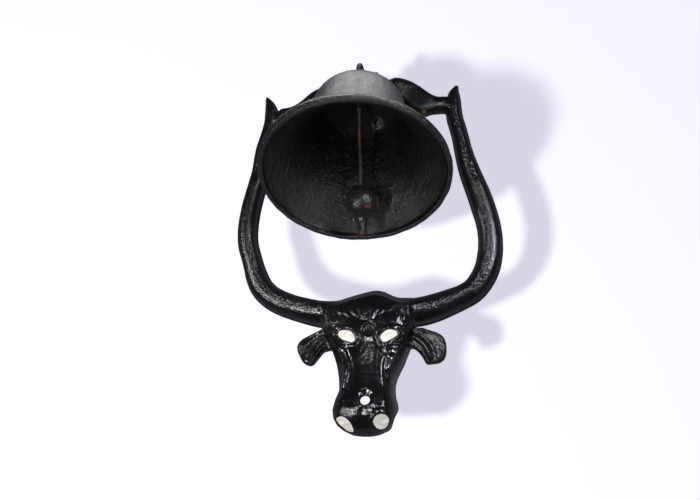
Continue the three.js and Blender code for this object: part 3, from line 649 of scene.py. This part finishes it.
# two lumps of metal left inside the crown
for (lx, ly, lz), lh, lw in (((15.8, 30.6, 103.9), 2.6, 4.2), ((17.6, 27.4, 105.6), 1.4, 3.0), ((-23.0, 28.8, 101.4), 1.2, 3.0), ((-19.4, 27.0, 104.0), 0.8, 2.4)):
    q = (px - lx) ** 2 + (py - ly) ** 2 + (pz - lz) ** 2
    dn = dn + isin[:, None] * lh * LUMP_SIGN * np.exp(-q / (lw * lw))
px = px + nrm[:, 0][:, None] * dn * np.cos(T_)
py = py + nrm[:, 0][:, None] * dn * np.sin(T_)
pz = pz + nrm[:, 1][:, None] * dn
verts = [(0, 0, prof[0, 1])]
verts += list(zip(px.ravel(), py.ravel(), pz.ravel()))
verts += [(0, 0, prof[-1, 1])]
faces = []
m = len(r)
for i in range(SEG):
    j = (i + 1) % SEG
    faces.append((0, 1 + j, 1 + i))
    for k in range(m - 1):
        faces.append((1 + k * SEG + i, 1 + k * SEG + j, 1 + (k + 1) * SEG + j, 1 + (k + 1) * SEG + i))
    faces.append((1 + (m - 1) * SEG + i, 1 + (m - 1) * SEG + j, len(verts) - 1))
bell = new_object("bell_shell", bell_to_row(verts), faces)
import bmesh
bm = bmesh.new()
bm.from_mesh(bell.data)
bmesh.ops.recalc_face_normals(bm, faces=bm.faces)
bm.to_mesh(bell.data)
bm.free()


def plate_ear():
    """The hanging ear: rounded plate with a bolt hole and a filleted foot, one closed mesh."""
    N = 96
    outline = []
    left = [(17.8, 113.6), (17.2, 118.2), (15.8, 121.6), (14.9, 126), (14.6, 131), (14.8, 137)]
    arc = [(15.5 * math.cos(a), 144 + 15.5 * math.sin(a)) for a in np.linspace(math.radians(-14), math.radians(194), 41)]
    loop = [(0, 112.8), (9, 113.0)] + left + arc + [(-x, z) for x, z in reversed(left)] + [(-9, 113.0), (0, 112.8)]
    loop = np.array(loop)
    seg = np.r_[0, np.cumsum(np.hypot(*np.diff(loop, axis=0).T))]
    s = np.linspace(0, seg[-1], N, endpoint=False)
    out = np.stack([np.interp(s, seg, loop[:, 0]), np.interp(s, seg, loop[:, 1])], 1)
    ang = np.linspace(math.radians(-90), math.radians(270), N, endpoint=False)
    hole = np.stack([3.6 * np.cos(ang), H_PIVOT + 3.6 * np.sin(ang)], 1)
    rows = []
    # from the hole's middle, over the face to the edge, round the edge and back
    def half(x, z):
        flare = 5.5 * math.exp(-max(0.0, z - 117.2) / 2.6)
        return 3.25 + flare
    prof_t = [(0.0, -0.35, 0.0), (0.0, -1, 0.0), (0.03, -1, 0.25), (0.3, -1, 0), (0.6, -1, 0), (0.74, -0.98, 0), (0.84, -0.90, 0), (0.92, -0.76, 0), (0.975, -0.5, 0), (1.0, 0.0, 0),
              (0.975, 0.5, 0), (0.92, 0.76, 0), (0.84, 0.90, 0), (0.74, 0.98, 0), (0.6, 1, 0), (0.3, 1, 0), (0.03, 1, 0.25), (0.0, 1, 0.0), (0.0, 0.35, 0.0)]
    verts = []
    for t, side, _ in prof_t:
        for a, b in zip(hole, out):
            p = a + (b - a) * t
            hx = half(*p)
            verts.append((side * hx, p[0], p[1]))
    V = np.array(verts)
    V[:, 0] += 0.12 * vnoise(V[:, 0] / 5 + 4, V[:, 1] / 5, V[:, 2] / 5)
    faces = []
    K = len(prof_t)
    for k in range(K):
        k2 = (k + 1) % K
        for i in range(N):
            i2 = (i + 1) % N
            faces.append((k * N + i, k * N + i2, k2 * N + i2, k2 * N + i))
    o = new_object("bell_hanging_ear", bell_to_row(V), faces)
    b = bmesh.new()
    b.from_mesh(o.data)
    bmesh.ops.recalc_face_normals(b, faces=b.faces)
    b.to_mesh(o.data)
    b.free()
    return o


hang = plate_ear()

# ------------------------------------------------------------------ the clapper
def tube(name, path, radii, seg=20, closed=False):
    path = np.asarray(path, float)
    n = len(path)
    t = np.gradient(path, axis=0)
    if closed:
        t = np.roll(path, -1, 0) - np.roll(path, 1, 0)
    t /= np.linalg.norm(t, axis=1)[:, None]
    up = np.array([1.0, 0.0, 0.0])
    verts = []
    for i in range(n):
        a = np.cross(t[i], up)
        if np.linalg.norm(a) < 1e-4:
            a = np.cross(t[i], [0, 1.0, 0])
        a /= np.linalg.norm(a)
        b = np.cross(t[i], a)
        for k in range(seg):
            c = 2 * math.pi * k / seg
            verts.append(path[i] + radii[i] * (math.cos(c) * a + math.sin(c) * b))
    verts = np.array(verts)
    faces = []
    for i in range(n if closed else n - 1):
        for k in range(seg):
            i2, k2 = (i + 1) % n, (k + 1) % seg
            faces.append((i * seg + k, i * seg + k2, i2 * seg + k2, i2 * seg + k))
    if not closed:
        faces.append(tuple(range(seg)))
        faces.append(tuple(range((n - 1) * seg, n * seg))[::-1])
    o = new_object(name, verts, faces)
    b = bmesh.new()
    b.from_mesh(o.data)
    bmesh.ops.recalc_face_normals(b, faces=b.faces)
    b.to_mesh(o.data)
    b.free()
    return o


# wire: eye round the staple, a wrap where it closes, then down to the ball
zz = np.linspace(-4.0, -CLAP_L + 8, 120)
wob = np.stack([0.35 * vnoise(zz / 17, zz * 0, zz * 0 + 3), 0.35 * vnoise(zz / 15, zz * 0 + 9, zz * 0), zz], 1)
wob[:, :2] *= np.clip((-zz - 4) / 12, 0, 1)[:, None] * np.clip((zz + CLAP_L - 8) / 12, 0, 1)[:, None]
rad = 1.55 + 0.16 * vnoise(zz / 2.6, zz * 0 + 4, zz * 0) + 0.1 * vnoise(zz / 1.1, zz * 0 + 14, zz * 0)
shank = tube("clapper_wire", wob + CLAP, rad)
a = np.linspace(0, 2 * np.pi, 56, endpoint=False)
ringp = np.stack([0 * a, 4.4 * np.cos(a), 4.4 * np.sin(a)], 1) + CLAP
eye_ring = tube("clapper_wire_eye", ringp, np.full(56, 1.58), closed=True)
a = np.linspace(0, 2 * np.pi * 3, 110)
wrapp = np.stack([2.0 * np.cos(a), 2.0 * np.sin(a), -4.9 - 4.4 * a / a[-1]], 1) + CLAP
wrap = tube("clapper_wire_wrap", wrapp, np.full(110, 0.75), seg=12)

# ball with its tail
ball_c = CLAP + np.array([0, 0, -CLAP_L])
bp = [(0.0, 17.35)]
for i in range(1, 40):
    ang = math.pi / 2 - i * ((math.pi / 2 + 1.10) / 40)
    bp.append((BALL_R * math.cos(ang), BALL_R * math.sin(ang)))
bp += [(7.4, -16.6), (6.3, -18.2), (5.4, -20.4), (4.7, -23), (4.55, -26), (4.4, -29), (4.3, -31.4), (3.9, -33.4), (3.0, -34.8), (1.6, -35.6), (0, -35.8)]
bp = np.array(bp)
SB = 96
th = np.linspace(0, 2 * np.pi, SB, endpoint=False)
V = [(0, 0, bp[0, 1])]
rr, hh = np.meshgrid(bp[1:-1, 0], th, indexing="ij")[0], np.meshgrid(bp[1:-1, 1], th, indexing="ij")[0]
tt = np.meshgrid(bp[1:-1, 0], th, indexing="ij")[1]
x, y, z = rr * np.cos(tt), rr * np.sin(tt), hh
nn = 0.30 * vnoise(x / 6 + 40, y / 6, z / 6) + 0.18 * vnoise(x / 2.8, y / 2.8 + 40, z / 2.8) - 0.05
g = 1 + nn / np.maximum(rr, 6)
x, y = x * g, y * g
V += list(zip(x.ravel(), y.ravel(), z.ravel())) + [(0, 0, bp[-1, 1])]
faces = []
m = len(bp) - 2
for i in range(SB):
    j = (i + 1) % SB
    faces.append((0, 1 + i, 1 + j))
    for k in range(m - 1):
        faces.append((1 + k * SB + i, 1 + (k + 1) * SB + i, 1 + (k + 1) * SB + j, 1 + k * SB + j))
    faces.append((1 + (m - 1) * SB + i, len(V) - 1, 1 + (m - 1) * SB + j))
ball = new_object("clapper_ball_cast", np.array(V) + ball_c, faces)


# ------------------------------------------------------------------- materials
def nodes_of(name):
    mat = bpy.data.materials.new(name)
    mat.use_nodes = True
    nt = mat.node_tree
    nt.nodes.clear()
    out = nt.nodes.new("ShaderNodeOutputMaterial")
    b = nt.nodes.new("ShaderNodeBsdfPrincipled")
    nt.links.new(b.outputs["BSDF"], out.inputs["Surface"])
    co = nt.nodes.new("ShaderNodeTexCoord")
    return mat, nt, b, co.outputs["Object"]


def noise_tex(nt, co, scale, detail=4.0, rough=0.55, distort=0.0):
    n = nt.nodes.new("ShaderNodeTexNoise")
    n.inputs["Scale"].default_value = scale
    n.inputs["Detail"].default_value = detail
    n.inputs["Roughness"].default_value = rough
    n.inputs["Distortion"].default_value = distort
    nt.links.new(co, n.inputs["Vector"])
    return n.outputs["Fac"]


def ramp(nt, src, stops):
    r = nt.nodes.new("ShaderNodeValToRGB")
    e = r.color_ramp.elements
    while len(e) > len(stops):
        e.remove(e[-1])
    while len(e) < len(stops):
        e.new(0.5)
    for el_, (p, c) in zip(e, stops):
        el_.position = p
        el_.color = c if len(c) == 4 else (*c, 1)
    nt.links.new(src, r.inputs["Fac"])
    return r.outputs["Color"]


def value(nt, src, lo, hi, a=0.0, b=1.0):
    m = nt.nodes.new("ShaderNodeMapRange")
    m.inputs["From Min"].default_value = lo
    m.inputs["From Max"].default_value = hi
    m.inputs["To Min"].default_value = a
    m.inputs["To Max"].default_value = b
    nt.links.new(src, m.inputs["Value"])
    return m.outputs["Result"]


def math_(nt, op, a, b):
    m = nt.nodes.new("ShaderNodeMath")
    m.operation = op
    for k, s in enumerate((a, b)):
        if isinstance(s, (int, float)):
            m.inputs[k].default_value = s
        else:
            nt.links.new(s, m.inputs[k])
    return m.outputs[0]


def mix(nt, fac, a, b):
    m = nt.nodes.new("ShaderNodeMix")
    m.data_type = "RGBA"
    if isinstance(fac, (int, float)):
        m.inputs[0].default_value = fac
    else:
        nt.links.new(fac, m.inputs[0])
    for k, s in ((6, a), (7, b)):
        if isinstance(s, tuple):
            m.inputs[k].default_value = s if len(s) == 4 else (*s, 1)
        else:
            nt.links.new(s, m.inputs[k])
    return m.outputs[2]


def mixv(nt, fac, a, b):
    m = nt.nodes.new("ShaderNodeMix")
    m.data_type = "FLOAT"
    for k, s in ((0, fac), (2, a), (3, b)):
        if isinstance(s, (int, float)):
            m.inputs[k].default_value = s
        else:
            nt.links.new(s, m.inputs[k])
    return m.outputs[0]


def bumps(nt, b, layers):
    prev = None
    for src, strength, dist in layers:
        n = nt.nodes.new("ShaderNodeBump")
        n.inputs["Strength"].default_value = strength
        n.inputs["Distance"].default_value = dist
        nt.links.new(src, n.inputs["Height"])
        if prev is not None:
            nt.links.new(prev, n.inputs["Normal"])
        prev = n.outputs["Normal"]
    nt.links.new(prev, b.inputs["Normal"])


def spots(nt, co, points):
    """1 inside small soft balls at the given places, 0 elsewhere."""
    total = None
    warp = nt.nodes.new("ShaderNodeTexNoise")
    warp.inputs["Scale"].default_value = 420
    warp.inputs["Detail"].default_value = 3
    nt.links.new(co, warp.inputs["Vector"])
    for (x, y, z), rad in points:
        d = nt.nodes.new("ShaderNodeVectorMath")
        d.operation = "DISTANCE"
        nt.links.new(co, d.inputs[0])
        d.inputs[1].default_value = (x / 1000, y / 1000, z / 1000)
        dd = math_(nt, "ADD", d.outputs["Value"], value(nt, warp.outputs["Fac"], 0.3, 0.7, -rad * 0.0006, rad * 0.0006))
        s = value(nt, dd, rad / 1000 * 0.55, rad / 1000 * 1.15, 1.0, 0.0)
        total = s if total is None else math_(nt, "MAXIMUM", total, s)
    return total


def soft_ball(nt, co, ball, inner, outer):
    """One value near a point and another away from it, with a smooth change between the two radii."""
    (cx, cy, cz), r0, r1 = ball
    far = nt.nodes.new("ShaderNodeVectorMath")
    far.operation = "DISTANCE"
    nt.links.new(co, far.inputs[0])
    far.inputs[1].default_value = (cx / 1000, cy / 1000, cz / 1000)
    return value(nt, far.outputs["Value"], r0 / 1000, r1 / 1000, inner, outer)


def cast_enamel(name, base, light, rough, grain, rust_points=(), rust_amount=0.0, wear=0.0, coat=0.0, dull=(), bright=(), calm=(), lump=0.35):
    """Black enamel over sand-cast iron: grain under the paint, dust in the hollows, rust where it has chipped."""
    mat, nt, b, co = nodes_of(name)
    big = noise_tex(nt, co, 22, 5, 0.6)
    mid = noise_tex(nt, co, 95, 6, 0.6)
    fine = noise_tex(nt, co, 420, 3, 0.5)
    gr = noise_tex(nt, co, 620, 3, 0.6)
    vor = nt.nodes.new("ShaderNodeTexVoronoi")
    vor.feature = "SMOOTH_F1"
    vor.inputs["Scale"].default_value = 430
    vor.inputs["Smoothness"].default_value = 0.6
    nt.links.new(co, vor.inputs["Vector"])
    geo = nt.nodes.new("ShaderNodeNewGeometry")
    edge = value(nt, geo.outputs["Pointiness"], 0.51, 0.60)
    hollow = value(nt, geo.outputs["Pointiness"], 0.497, 0.44)
    col = mix(nt, value(nt, big, 0.35, 0.7), base, light)
    col = mix(nt, math_(nt, "MULTIPLY", value(nt, mid, 0.52, 0.72), 0.5), col, tuple(min(1, c * 1.9) for c in light))
    dust = math_(nt, "MULTIPLY", hollow, value(nt, mid, 0.3, 0.65))
    col = mix(nt, math_(nt, "MULTIPLY", dust, 0.35), col, (0.030, 0.029, 0.028))
    rub = math_(nt, "MULTIPLY", edge, value(nt, fine, 0.35, 0.62))
    col = mix(nt, math_(nt, "MULTIPLY", rub, 0.25 + wear), col, (0.10, 0.098, 0.095))
    rust = math_(nt, "MULTIPLY", value(nt, noise_tex(nt, co, 60, 6, 0.7, 0.4), 0.66, 0.74), value(nt, fine, 0.45, 0.6))
    rust = math_(nt, "MULTIPLY", rust, rust_amount)
    chips = math_(nt, "MULTIPLY", edge, value(nt, noise_tex(nt, co, 38, 4, 0.6), 0.60, 0.70))
    rust = math_(nt, "MAXIMUM", rust, math_(nt, "MULTIPLY", chips, min(1.0, rust_amount * 1.6)))
    if rust_points:
        rust = math_(nt, "MAXIMUM", rust, spots(nt, co, rust_points))
    rustcol = mix(nt, fine, (0.085, 0.030, 0.012), (0.22, 0.085, 0.035))
    col = mix(nt, rust, col, rustcol)
    nt.links.new(col, b.inputs["Base Color"])
    rg = mixv(nt, value(nt, mid, 0.35, 0.68), rough[0], rough[1])
    rg = mixv(nt, math_(nt, "MULTIPLY", dust, 0.6), rg, 0.62)
    rg = mixv(nt, rust, rg, 0.85)
    if dull:
        mask = soft_ball(nt, co, dull, 1.0, 0.0)
        if bright:
            mask = math_(nt, "MULTIPLY", mask, soft_ball(nt, co, bright, 0.0, 1.0))
        rg = mixv(nt, math_(nt, "MULTIPLY", mask, 0.85), rg, 0.75)
    nt.links.new(rg, b.inputs["Roughness"])
    b.inputs["Specular IOR Level"].default_value = 0.7
    if dull:
        nt.links.new(mixv(nt, mask, 0.7, 0.14), b.inputs["Specular IOR Level"])
    b.inputs["Coat Weight"].default_value = coat
    b.inputs["Coat Roughness"].default_value = 0.16
    nt.links.new(mixv(nt, rust, 0.0, 0.1), b.inputs["Metallic"])
    grains = [vor.outputs["Distance"], gr, fine]
    if calm:
        still = soft_ball(nt, co, calm, 0.22, 1.0)
        grains = [math_(nt, "MULTIPLY", g, still) for g in grains]
    lumps = noise_tex(nt, co, 210, 4, 0.55)
    if calm:
        lumps = math_(nt, "MULTIPLY", lumps, still)
    bumps(nt, b, [(lumps, lump, 0.0020), (grains[0], 0.42 * grain, 0.0010), (grains[1], 0.50 * grain, 0.0009), (grains[2], 0.25 * grain, 0.0010), (rust, 0.25, 0.0004)])
    return mat


def white_enamel(name, dirt=0.5):
    mat, nt, b, co = nodes_of(name)
    mid = noise_tex(nt, co, 120, 5, 0.6)
    fine = noise_tex(nt, co, 600, 3, 0.55)
    geo = nt.nodes.new("ShaderNodeNewGeometry")
    edge = value(nt, geo.outputs["Pointiness"], 0.46, 0.50, 1.0, 0.0)
    col = mix(nt, value(nt, mid, 0.35, 0.65), (0.80, 0.775, 0.69), (0.88, 0.86, 0.79))
    col = mix(nt, math_(nt, "MULTIPLY", value(nt, fine, 0.60, 0.72), 0.35 * dirt), col, (0.34, 0.28, 0.20))
    col = mix(nt, math_(nt, "MULTIPLY", value(nt, noise_tex(nt, co, 190, 4, 0.6, 0.5), 0.54, 0.66), 0.9 * dirt), col, (0.50, 0.40, 0.28))
    col = mix(nt, math_(nt, "MULTIPLY", edge, 0.5 * dirt), col, (0.35, 0.30, 0.23))
    nt.links.new(col, b.inputs["Base Color"])
    nt.links.new(value(nt, mid, 0.3, 0.7, 0.30, 0.50), b.inputs["Roughness"])
    bumps(nt, b, [(mid, 0.35, 0.0012), (fine, 0.25, 0.0005)])
    return mat


def rusty_iron(name, paint=0.5, dark=(0.012, 0.011, 0.011), light=(0.035, 0.03, 0.028), rust_points=(), gloss=0.30):
    mat, nt, b, co = nodes_of(name)
    big = noise_tex(nt, co, 70, 6, 0.65, 0.3)
    fine = noise_tex(nt, co, 420, 4, 0.6)
    gr = noise_tex(nt, co, 1100, 2, 0.5)
    rust = value(nt, big, 0.62 - 0.3 * (1 - paint), 0.70 - 0.25 * (1 - paint))
    rustcol = ramp(nt, fine, [(0.25, (0.045, 0.018, 0.010)), (0.55, (0.14, 0.050, 0.020)), (0.8, (0.27, 0.11, 0.05))])
    paintcol = mix(nt, value(nt, fine, 0.3, 0.7), dark, light)
    geo = nt.nodes.new("ShaderNodeNewGeometry")
    edge = math_(nt, "MULTIPLY", value(nt, geo.outputs["Pointiness"], 0.52, 0.60), 0.7)
    rust = math_(nt, "MAXIMUM", rust, math_(nt, "MULTIPLY", edge, value(nt, fine, 0.4, 0.6)))
    if rust_points:
        rust = math_(nt, "MAXIMUM", rust, math_(nt, "MULTIPLY", spots(nt, co, rust_points), value(nt, fine, 0.30, 0.52)))
    col = mix(nt, rust, paintcol, rustcol)
    nt.links.new(col, b.inputs["Base Color"])
    nt.links.new(mixv(nt, rust, gloss, 0.82), b.inputs["Roughness"])
    nt.links.new(mixv(nt, rust, 0.0, 0.15), b.inputs["Metallic"])
    bumps(nt, b, [(fine, 0.55, 0.0010), (gr, 0.35, 0.0005)])
    return mat


def oxide_steel(name):
    mat, nt, b, co = nodes_of(name)
    mid = noise_tex(nt, co, 150, 5, 0.6)
    fine = noise_tex(nt, co, 900, 3, 0.55)
    geo = nt.nodes.new("ShaderNodeNewGeometry")
    edge = value(nt, geo.outputs["Pointiness"], 0.52, 0.62)
    col = mix(nt, value(nt, mid, 0.35, 0.65), (0.018, 0.018, 0.019), (0.045, 0.043, 0.042))
    col = mix(nt, math_(nt, "MULTIPLY", edge, 0.5), col, (0.22, 0.21, 0.20))
    rust = math_(nt, "MULTIPLY", value(nt, noise_tex(nt, co, 240, 5, 0.65), 0.6, 0.7), 0.8)
    col = mix(nt, rust, col, (0.12, 0.045, 0.02))
    nt.links.new(col, b.inputs["Base Color"])
    nt.links.new(mixv(nt, rust, 0.38, 0.8), b.inputs["Roughness"])
    nt.links.new(mixv(nt, rust, 0.7, 0.1), b.inputs["Metallic"])
    bumps(nt, b, [(mid, 0.3, 0.0006), (fine, 0.3, 0.0003)])
    return mat


frame_mat = cast_enamel("frame_black_enamel", (0.0030, 0.0030, 0.0034), (0.0070, 0.0070, 0.0076), (0.10, 0.19), 0.55,
                        rust_points=[((64.0, -12, 303.2), 3.4), ((1.0, -50.5, -5.0), 3.2), ((-2.6, -51, -4.4), 2.0), ((-61, -20, 52), 2.0)],
                        rust_amount=0.05, wear=0.02, coat=0.0, calm=((2, -44, 38), 34, 66), lump=0.30,
                        dull=((60, -15, 321), 9, 19))
# outside coat: its lighter base and tones are partly worn satin paint and partly painted sheen, making the outside look
# lit from above next to the darker inside coat
bell_mat = cast_enamel("bell_enamel_outside_worn_and_painted_sheen", (0.009, 0.009, 0.0095), (0.034, 0.034, 0.0345), (0.27, 0.56), 0.45, rust_amount=0.12, wear=0.1, coat=0.0)
bell_in_mat = cast_enamel("bell_black_enamel_inside", (0.0040, 0.0040, 0.0042), (0.0095, 0.0095, 0.0098), (0.11, 0.22), 1.15, rust_amount=0.14, wear=0.05, coat=0.0,
                          dull=((0, -36.6, 315.1), 34, 56), bright=((15.8, -12.8, 294.4), 5, 8.5), lump=0.85)
enamel_mat = white_enamel("white_enamel")
wire_mat = rusty_iron("rusty_wire", paint=0.80, dark=(0.016, 0.015, 0.014), light=(0.11, 0.105, 0.10), rust_points=[((0, -40.5, 270), 10), ((0, -40.5, 297), 5), ((0, -40.5, 222), 5)])
ball_mat = rusty_iron("clapper_iron", paint=1.06, dark=(0.008, 0.0075, 0.0075), light=(0.026, 0.023, 0.022), gloss=0.24,
                      rust_points=[((-17, -43, 203), 5), ((17.5, -42, 200), 5.5), ((0, -40.5, 218), 5), ((0, -43, 166), 4.5)])
steel_mat = oxide_steel("black_oxide_steel")


def give(o, mat):
    o.data.materials.clear()
    o.data.materials.append(mat)
    if len(o.data.polygons):
        o.data.polygons.foreach_set("material_index", np.zeros(len(o.data.polygons), np.int32))


N = frame["nodes"]
for o, mat, body, cad, slot in (
        (casting, frame_mat, "frame", ["frame_casting"], "frame_paint"),
        (en_el, enamel_mat, "frame", ["eye_enamel_left"], "white_enamel"),
        (en_er, enamel_mat, "frame", ["eye_enamel_right"], "white_enamel"),
        (en_nl, enamel_mat, "frame", ["nostril_enamel_left"], "white_enamel"),
        (en_nr, enamel_mat, "frame", ["nostril_enamel_right"], "white_enamel"),
        (bell, bell_mat, "bell", ["bell_casting"], "bell_paint"),
        (hang, bell_in_mat, "bell", [], "bell_paint"),
        (shank, wire_mat, "clapper", ["clapper_rod"], "iron_wire"),
        (eye_ring, wire_mat, "clapper", [], "iron_wire"),
        (wrap, wire_mat, "clapper", [], "iron_wire"),
        (ball, ball_mat, "clapper", ["clapper_ball"], "clapper_iron")):
    give(o, mat)
    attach(o, body)
    if cad:
        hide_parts(*cad)
# the inside of the bell keeps its own glossier, darker coat; the outside's lighter colour is partly wear and partly
# painted sheen
bell.data.materials.append(bell_in_mat)
n_lip = int(np.argmax((~isin) & (hgt > 5.5)))
cut = n_lip * SEG + 1
mi = [1 if max(pl.vertices) <= cut else 0 for pl in bell.data.polygons]
bell.data.polygons.foreach_set("material_index", mi)
for n, mat in (("pivot_bolt", steel_mat), ("pivot_nut", steel_mat), ("pivot_washer_left", steel_mat), ("pivot_washer_right", steel_mat), ("clapper_staple", wire_mat)):
    give(N[n], mat)

# ------------------------------------------------------------- backdrop and light
def plane(name, verts, color, rough=0.9, glow=None, one_sided=False):
    me = bpy.data.meshes.new(name)
    me.from_pydata(verts, [], [(0, 1, 2, 3)])
    o = bpy.data.objects.new(name, me)
    scene.collection.objects.link(o)
    mat = bpy.data.materials.new(name)
    mat.use_nodes = True
    b = mat.node_tree.nodes["Principled BSDF"]
    b.inputs["Base Color"].default_value = (*color, 1)
    b.inputs["Roughness"].default_value = rough
    b.inputs["Specular IOR Level"].default_value = 0.1
    if glow:
        b.inputs["Emission Color"].default_value = (*glow, 1)
        b.inputs["Emission Strength"].default_value = 1.0
    if one_sided:
        nt = mat.node_tree
        out = nt.nodes["Material Output"]
        ge = nt.nodes.new("ShaderNodeNewGeometry")
        tr = nt.nodes.new("ShaderNodeBsdfTransparent")
        mx = nt.nodes.new("ShaderNodeMixShader")
        nt.links.new(ge.outputs["Backfacing"], mx.inputs[0])
        nt.links.new(b.outputs["BSDF"], mx.inputs[1])
        nt.links.new(tr.outputs["BSDF"], mx.inputs[2])
        nt.links.new(mx.outputs["Shader"], out.inputs["Surface"])
    me.materials.append(mat)
    o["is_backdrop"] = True
    return o


GAP_Y = 0.092            # the pale backdrop hangs a little way behind the part
backdrop = plane("backdrop", [(-3, GAP_Y, -0.9), (3, GAP_Y, -0.9), (3, GAP_Y, 2.6), (-3, GAP_Y, 2.6)], (0.90, 0.90, 0.92), glow=(0.655, 0.645, 0.755), one_sided=True)
backdrop.visible_glossy = False
floor_plane = plane("floor", [(-3, -3, -0.9), (3, -3, -0.9), (3, GAP_Y, -0.9), (-3, GAP_Y, -0.9)], (0.86, 0.86, 0.88), glow=(0.62, 0.62, 0.66))
floor_plane.visible_glossy = False
floor_plane.visible_diffuse = False
# pale room, seen only when the camera looks away from the backdrop
R0 = 3.4
shell_v = [(x * R0, y * R0, z * R0) for x in (-1, 1) for y in (-1, 1) for z in (-1, 1)]
me = bpy.data.meshes.new("pale_room")
me.from_pydata(shell_v, [], [(0, 1, 3, 2), (4, 6, 7, 5), (0, 4, 5, 1), (2, 3, 7, 6), (0, 2, 6, 4), (1, 5, 7, 3)])
room = bpy.data.objects.new("pale_room", me)
scene.collection.objects.link(room)
rm = bpy.data.materials.new("pale_room")
rm.use_nodes = True
rb = rm.node_tree.nodes["Principled BSDF"]
rb.inputs["Base Color"].default_value = (0.8, 0.8, 0.82, 1)
rb.inputs["Emission Color"].default_value = (0.80, 0.80, 0.83, 1)
rb.inputs["Emission Strength"].default_value = 1.0
me.materials.append(rm)
room.visible_diffuse = False
room.visible_glossy = False
room.visible_transmission = False
room.visible_shadow = False
room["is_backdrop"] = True


def area(name, loc, target, size, power, color=(1, 1, 1), shape=None):
    d = bpy.data.lights.new(name, "AREA")
    d.shape = "RECTANGLE"
    d.size, d.size_y = size
    d.energy = power
    d.color = color
    o = bpy.data.objects.new(name, d)
    scene.collection.objects.link(o)
    o.location = loc
    o.rotation_mode = "QUATERNION"
    o.rotation_quaternion = (Vector(target) - Vector(loc)).to_track_quat("-Z", "Y")
    return o


def spot_area(name, direction, dist, size, power, color=(1, 1, 1)):
    d = Vector(direction).normalized()
    t = Vector((0, -0.03, 0.17))
    return area(name, t + d * dist, t, size, power, color)


lit = bpy.data.collections.new("lit_pieces")
scene.collection.children.link(lit)
for o in list(scene.objects):
    if o.type == "MESH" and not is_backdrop(o):
        lit.objects.link(o)


def only_pieces(light):
    light.light_linking.receiver_collection = lit
    return light


key = spot_area("key_left", (-0.47, -1.0, -0.40), 2.0, (0.16, 0.16), 19)
only_pieces(spot_area("front_soft", (-0.085, -1.0, 0.16), 1.6, (0.08, 0.08), 0.9))
only_pieces(spot_area("right_soft", (0.60, -0.80, 0.27), 1.05, (0.09, 0.22), 4.2, (0.84, 0.88, 1.0)))
lit_frame = bpy.data.collections.new("lit_frame")
scene.collection.children.link(lit_frame)
for o in (casting, en_el, en_er, en_nl, en_nr):
    lit_frame.objects.link(o)
for light in (spot_area("front_strip", (-0.06, -1.0, 0.24), 1.6, (0.05, 0.28), 2.7),
              spot_area("strip_left", (-1.0, -0.80, 0.05), 2.0, (0.05, 0.8), 14),
              spot_area("strip_mid_right", (0.66, -0.60, 0.20), 0.62, (0.05, 0.22), 0.6, (0.84, 0.88, 1.0))):
    light.light_linking.receiver_collection = lit_frame
only_pieces(spot_area("strip_right", (1.0, -1.0, 0.0), 2.0, (0.08, 1.2), 3))
lit_bell = bpy.data.collections.new("lit_bell")
scene.collection.children.link(lit_bell)
lit_bell.objects.link(bell)
lit_bell.objects.link(hang)
not_bell = bpy.data.collections.new("all_but_bell")
scene.collection.children.link(not_bell)
for o in list(scene.objects):
    if o.type == "MESH" and o not in (bell, hang):
        not_bell.objects.link(o)
key.light_linking.receiver_collection = not_bell
for light in (spot_area("key_bell", (-0.47, -1.0, -0.40), 2.0, (0.16, 0.16), 9),
              area("under_bell", (0, -1.4, -0.88), (0, -1.38, 0.5), (4.0, 2.8), 19)):
    light.light_linking.receiver_collection = lit_bell
crown = area("crown_soft", (0.0, -0.25, 1.55), (0, -0.05, 0.3), (1.8, 1.5), 34)
crown.light_linking.receiver_collection = lit_bell

world = bpy.data.worlds.new("studio")
scene.world = world
world.use_nodes = True
wn = world.node_tree
bg = wn.nodes["Background"]
wc = wn.nodes.new("ShaderNodeTexCoord")
sp = wn.nodes.new("ShaderNodeSeparateXYZ")
wr = wn.nodes.new("ShaderNodeValToRGB")
wr.color_ramp.elements[0].position = 0.50
wr.color_ramp.elements[0].color = (0.030, 0.031, 0.034, 1)
wr.color_ramp.elements[1].position = 0.62
wr.color_ramp.elements[1].color = (0.12, 0.12, 0.14, 1)
mr = wn.nodes.new("ShaderNodeMapRange")
mr.inputs["From Min"].default_value = -1
mr.inputs["From Max"].default_value = 1
wn.links.new(wc.outputs["Generated"], sp.inputs["Vector"])
wn.links.new(sp.outputs["Y"], mr.inputs["Value"])
wn.links.new(mr.outputs["Result"], wr.inputs["Fac"])
wn.links.new(wr.outputs["Color"], bg.inputs["Color"])
bg.inputs["Strength"].default_value = 1.0
scene.view_settings.view_transform = "Standard"
scene.view_settings.look = "None"

# ---------------------------------------------------------------------- camera
YAW, ELEV, ROLL = math.radians(8.0), math.radians(-15.5), math.radians(-1.214)
TARGET = Vector((-0.018414, 0.0, 0.163157))
DIST = 1.2
back = Vector((math.sin(YAW) * math.cos(ELEV), -math.cos(YAW) * math.cos(ELEV), math.sin(ELEV)))
right = (-back).cross(Vector((0, 0, 1))).normalized()
up = right.cross(-back)
r2 = math.cos(ROLL) * right + math.sin(ROLL) * up
u2 = -math.sin(ROLL) * right + math.cos(ROLL) * up
cam_data = bpy.data.cameras.new("camera")
cam = bpy.data.objects.new("camera", cam_data)
scene.collection.objects.link(cam)
cam.matrix_world = Matrix((
    (r2.x, u2.x, back.x, TARGET.x + back.x * DIST),
    (r2.y, u2.y, back.y, TARGET.y + back.y * DIST),
    (r2.z, u2.z, back.z, TARGET.z + back.z * DIST),
    (0, 0, 0, 1)))
cam_data.sensor_width = 36.0
cam_data.lens = 1164.784 / 700 * 36.0
cam_data.clip_start, cam_data.clip_end = 0.05, 20
scene.camera = cam
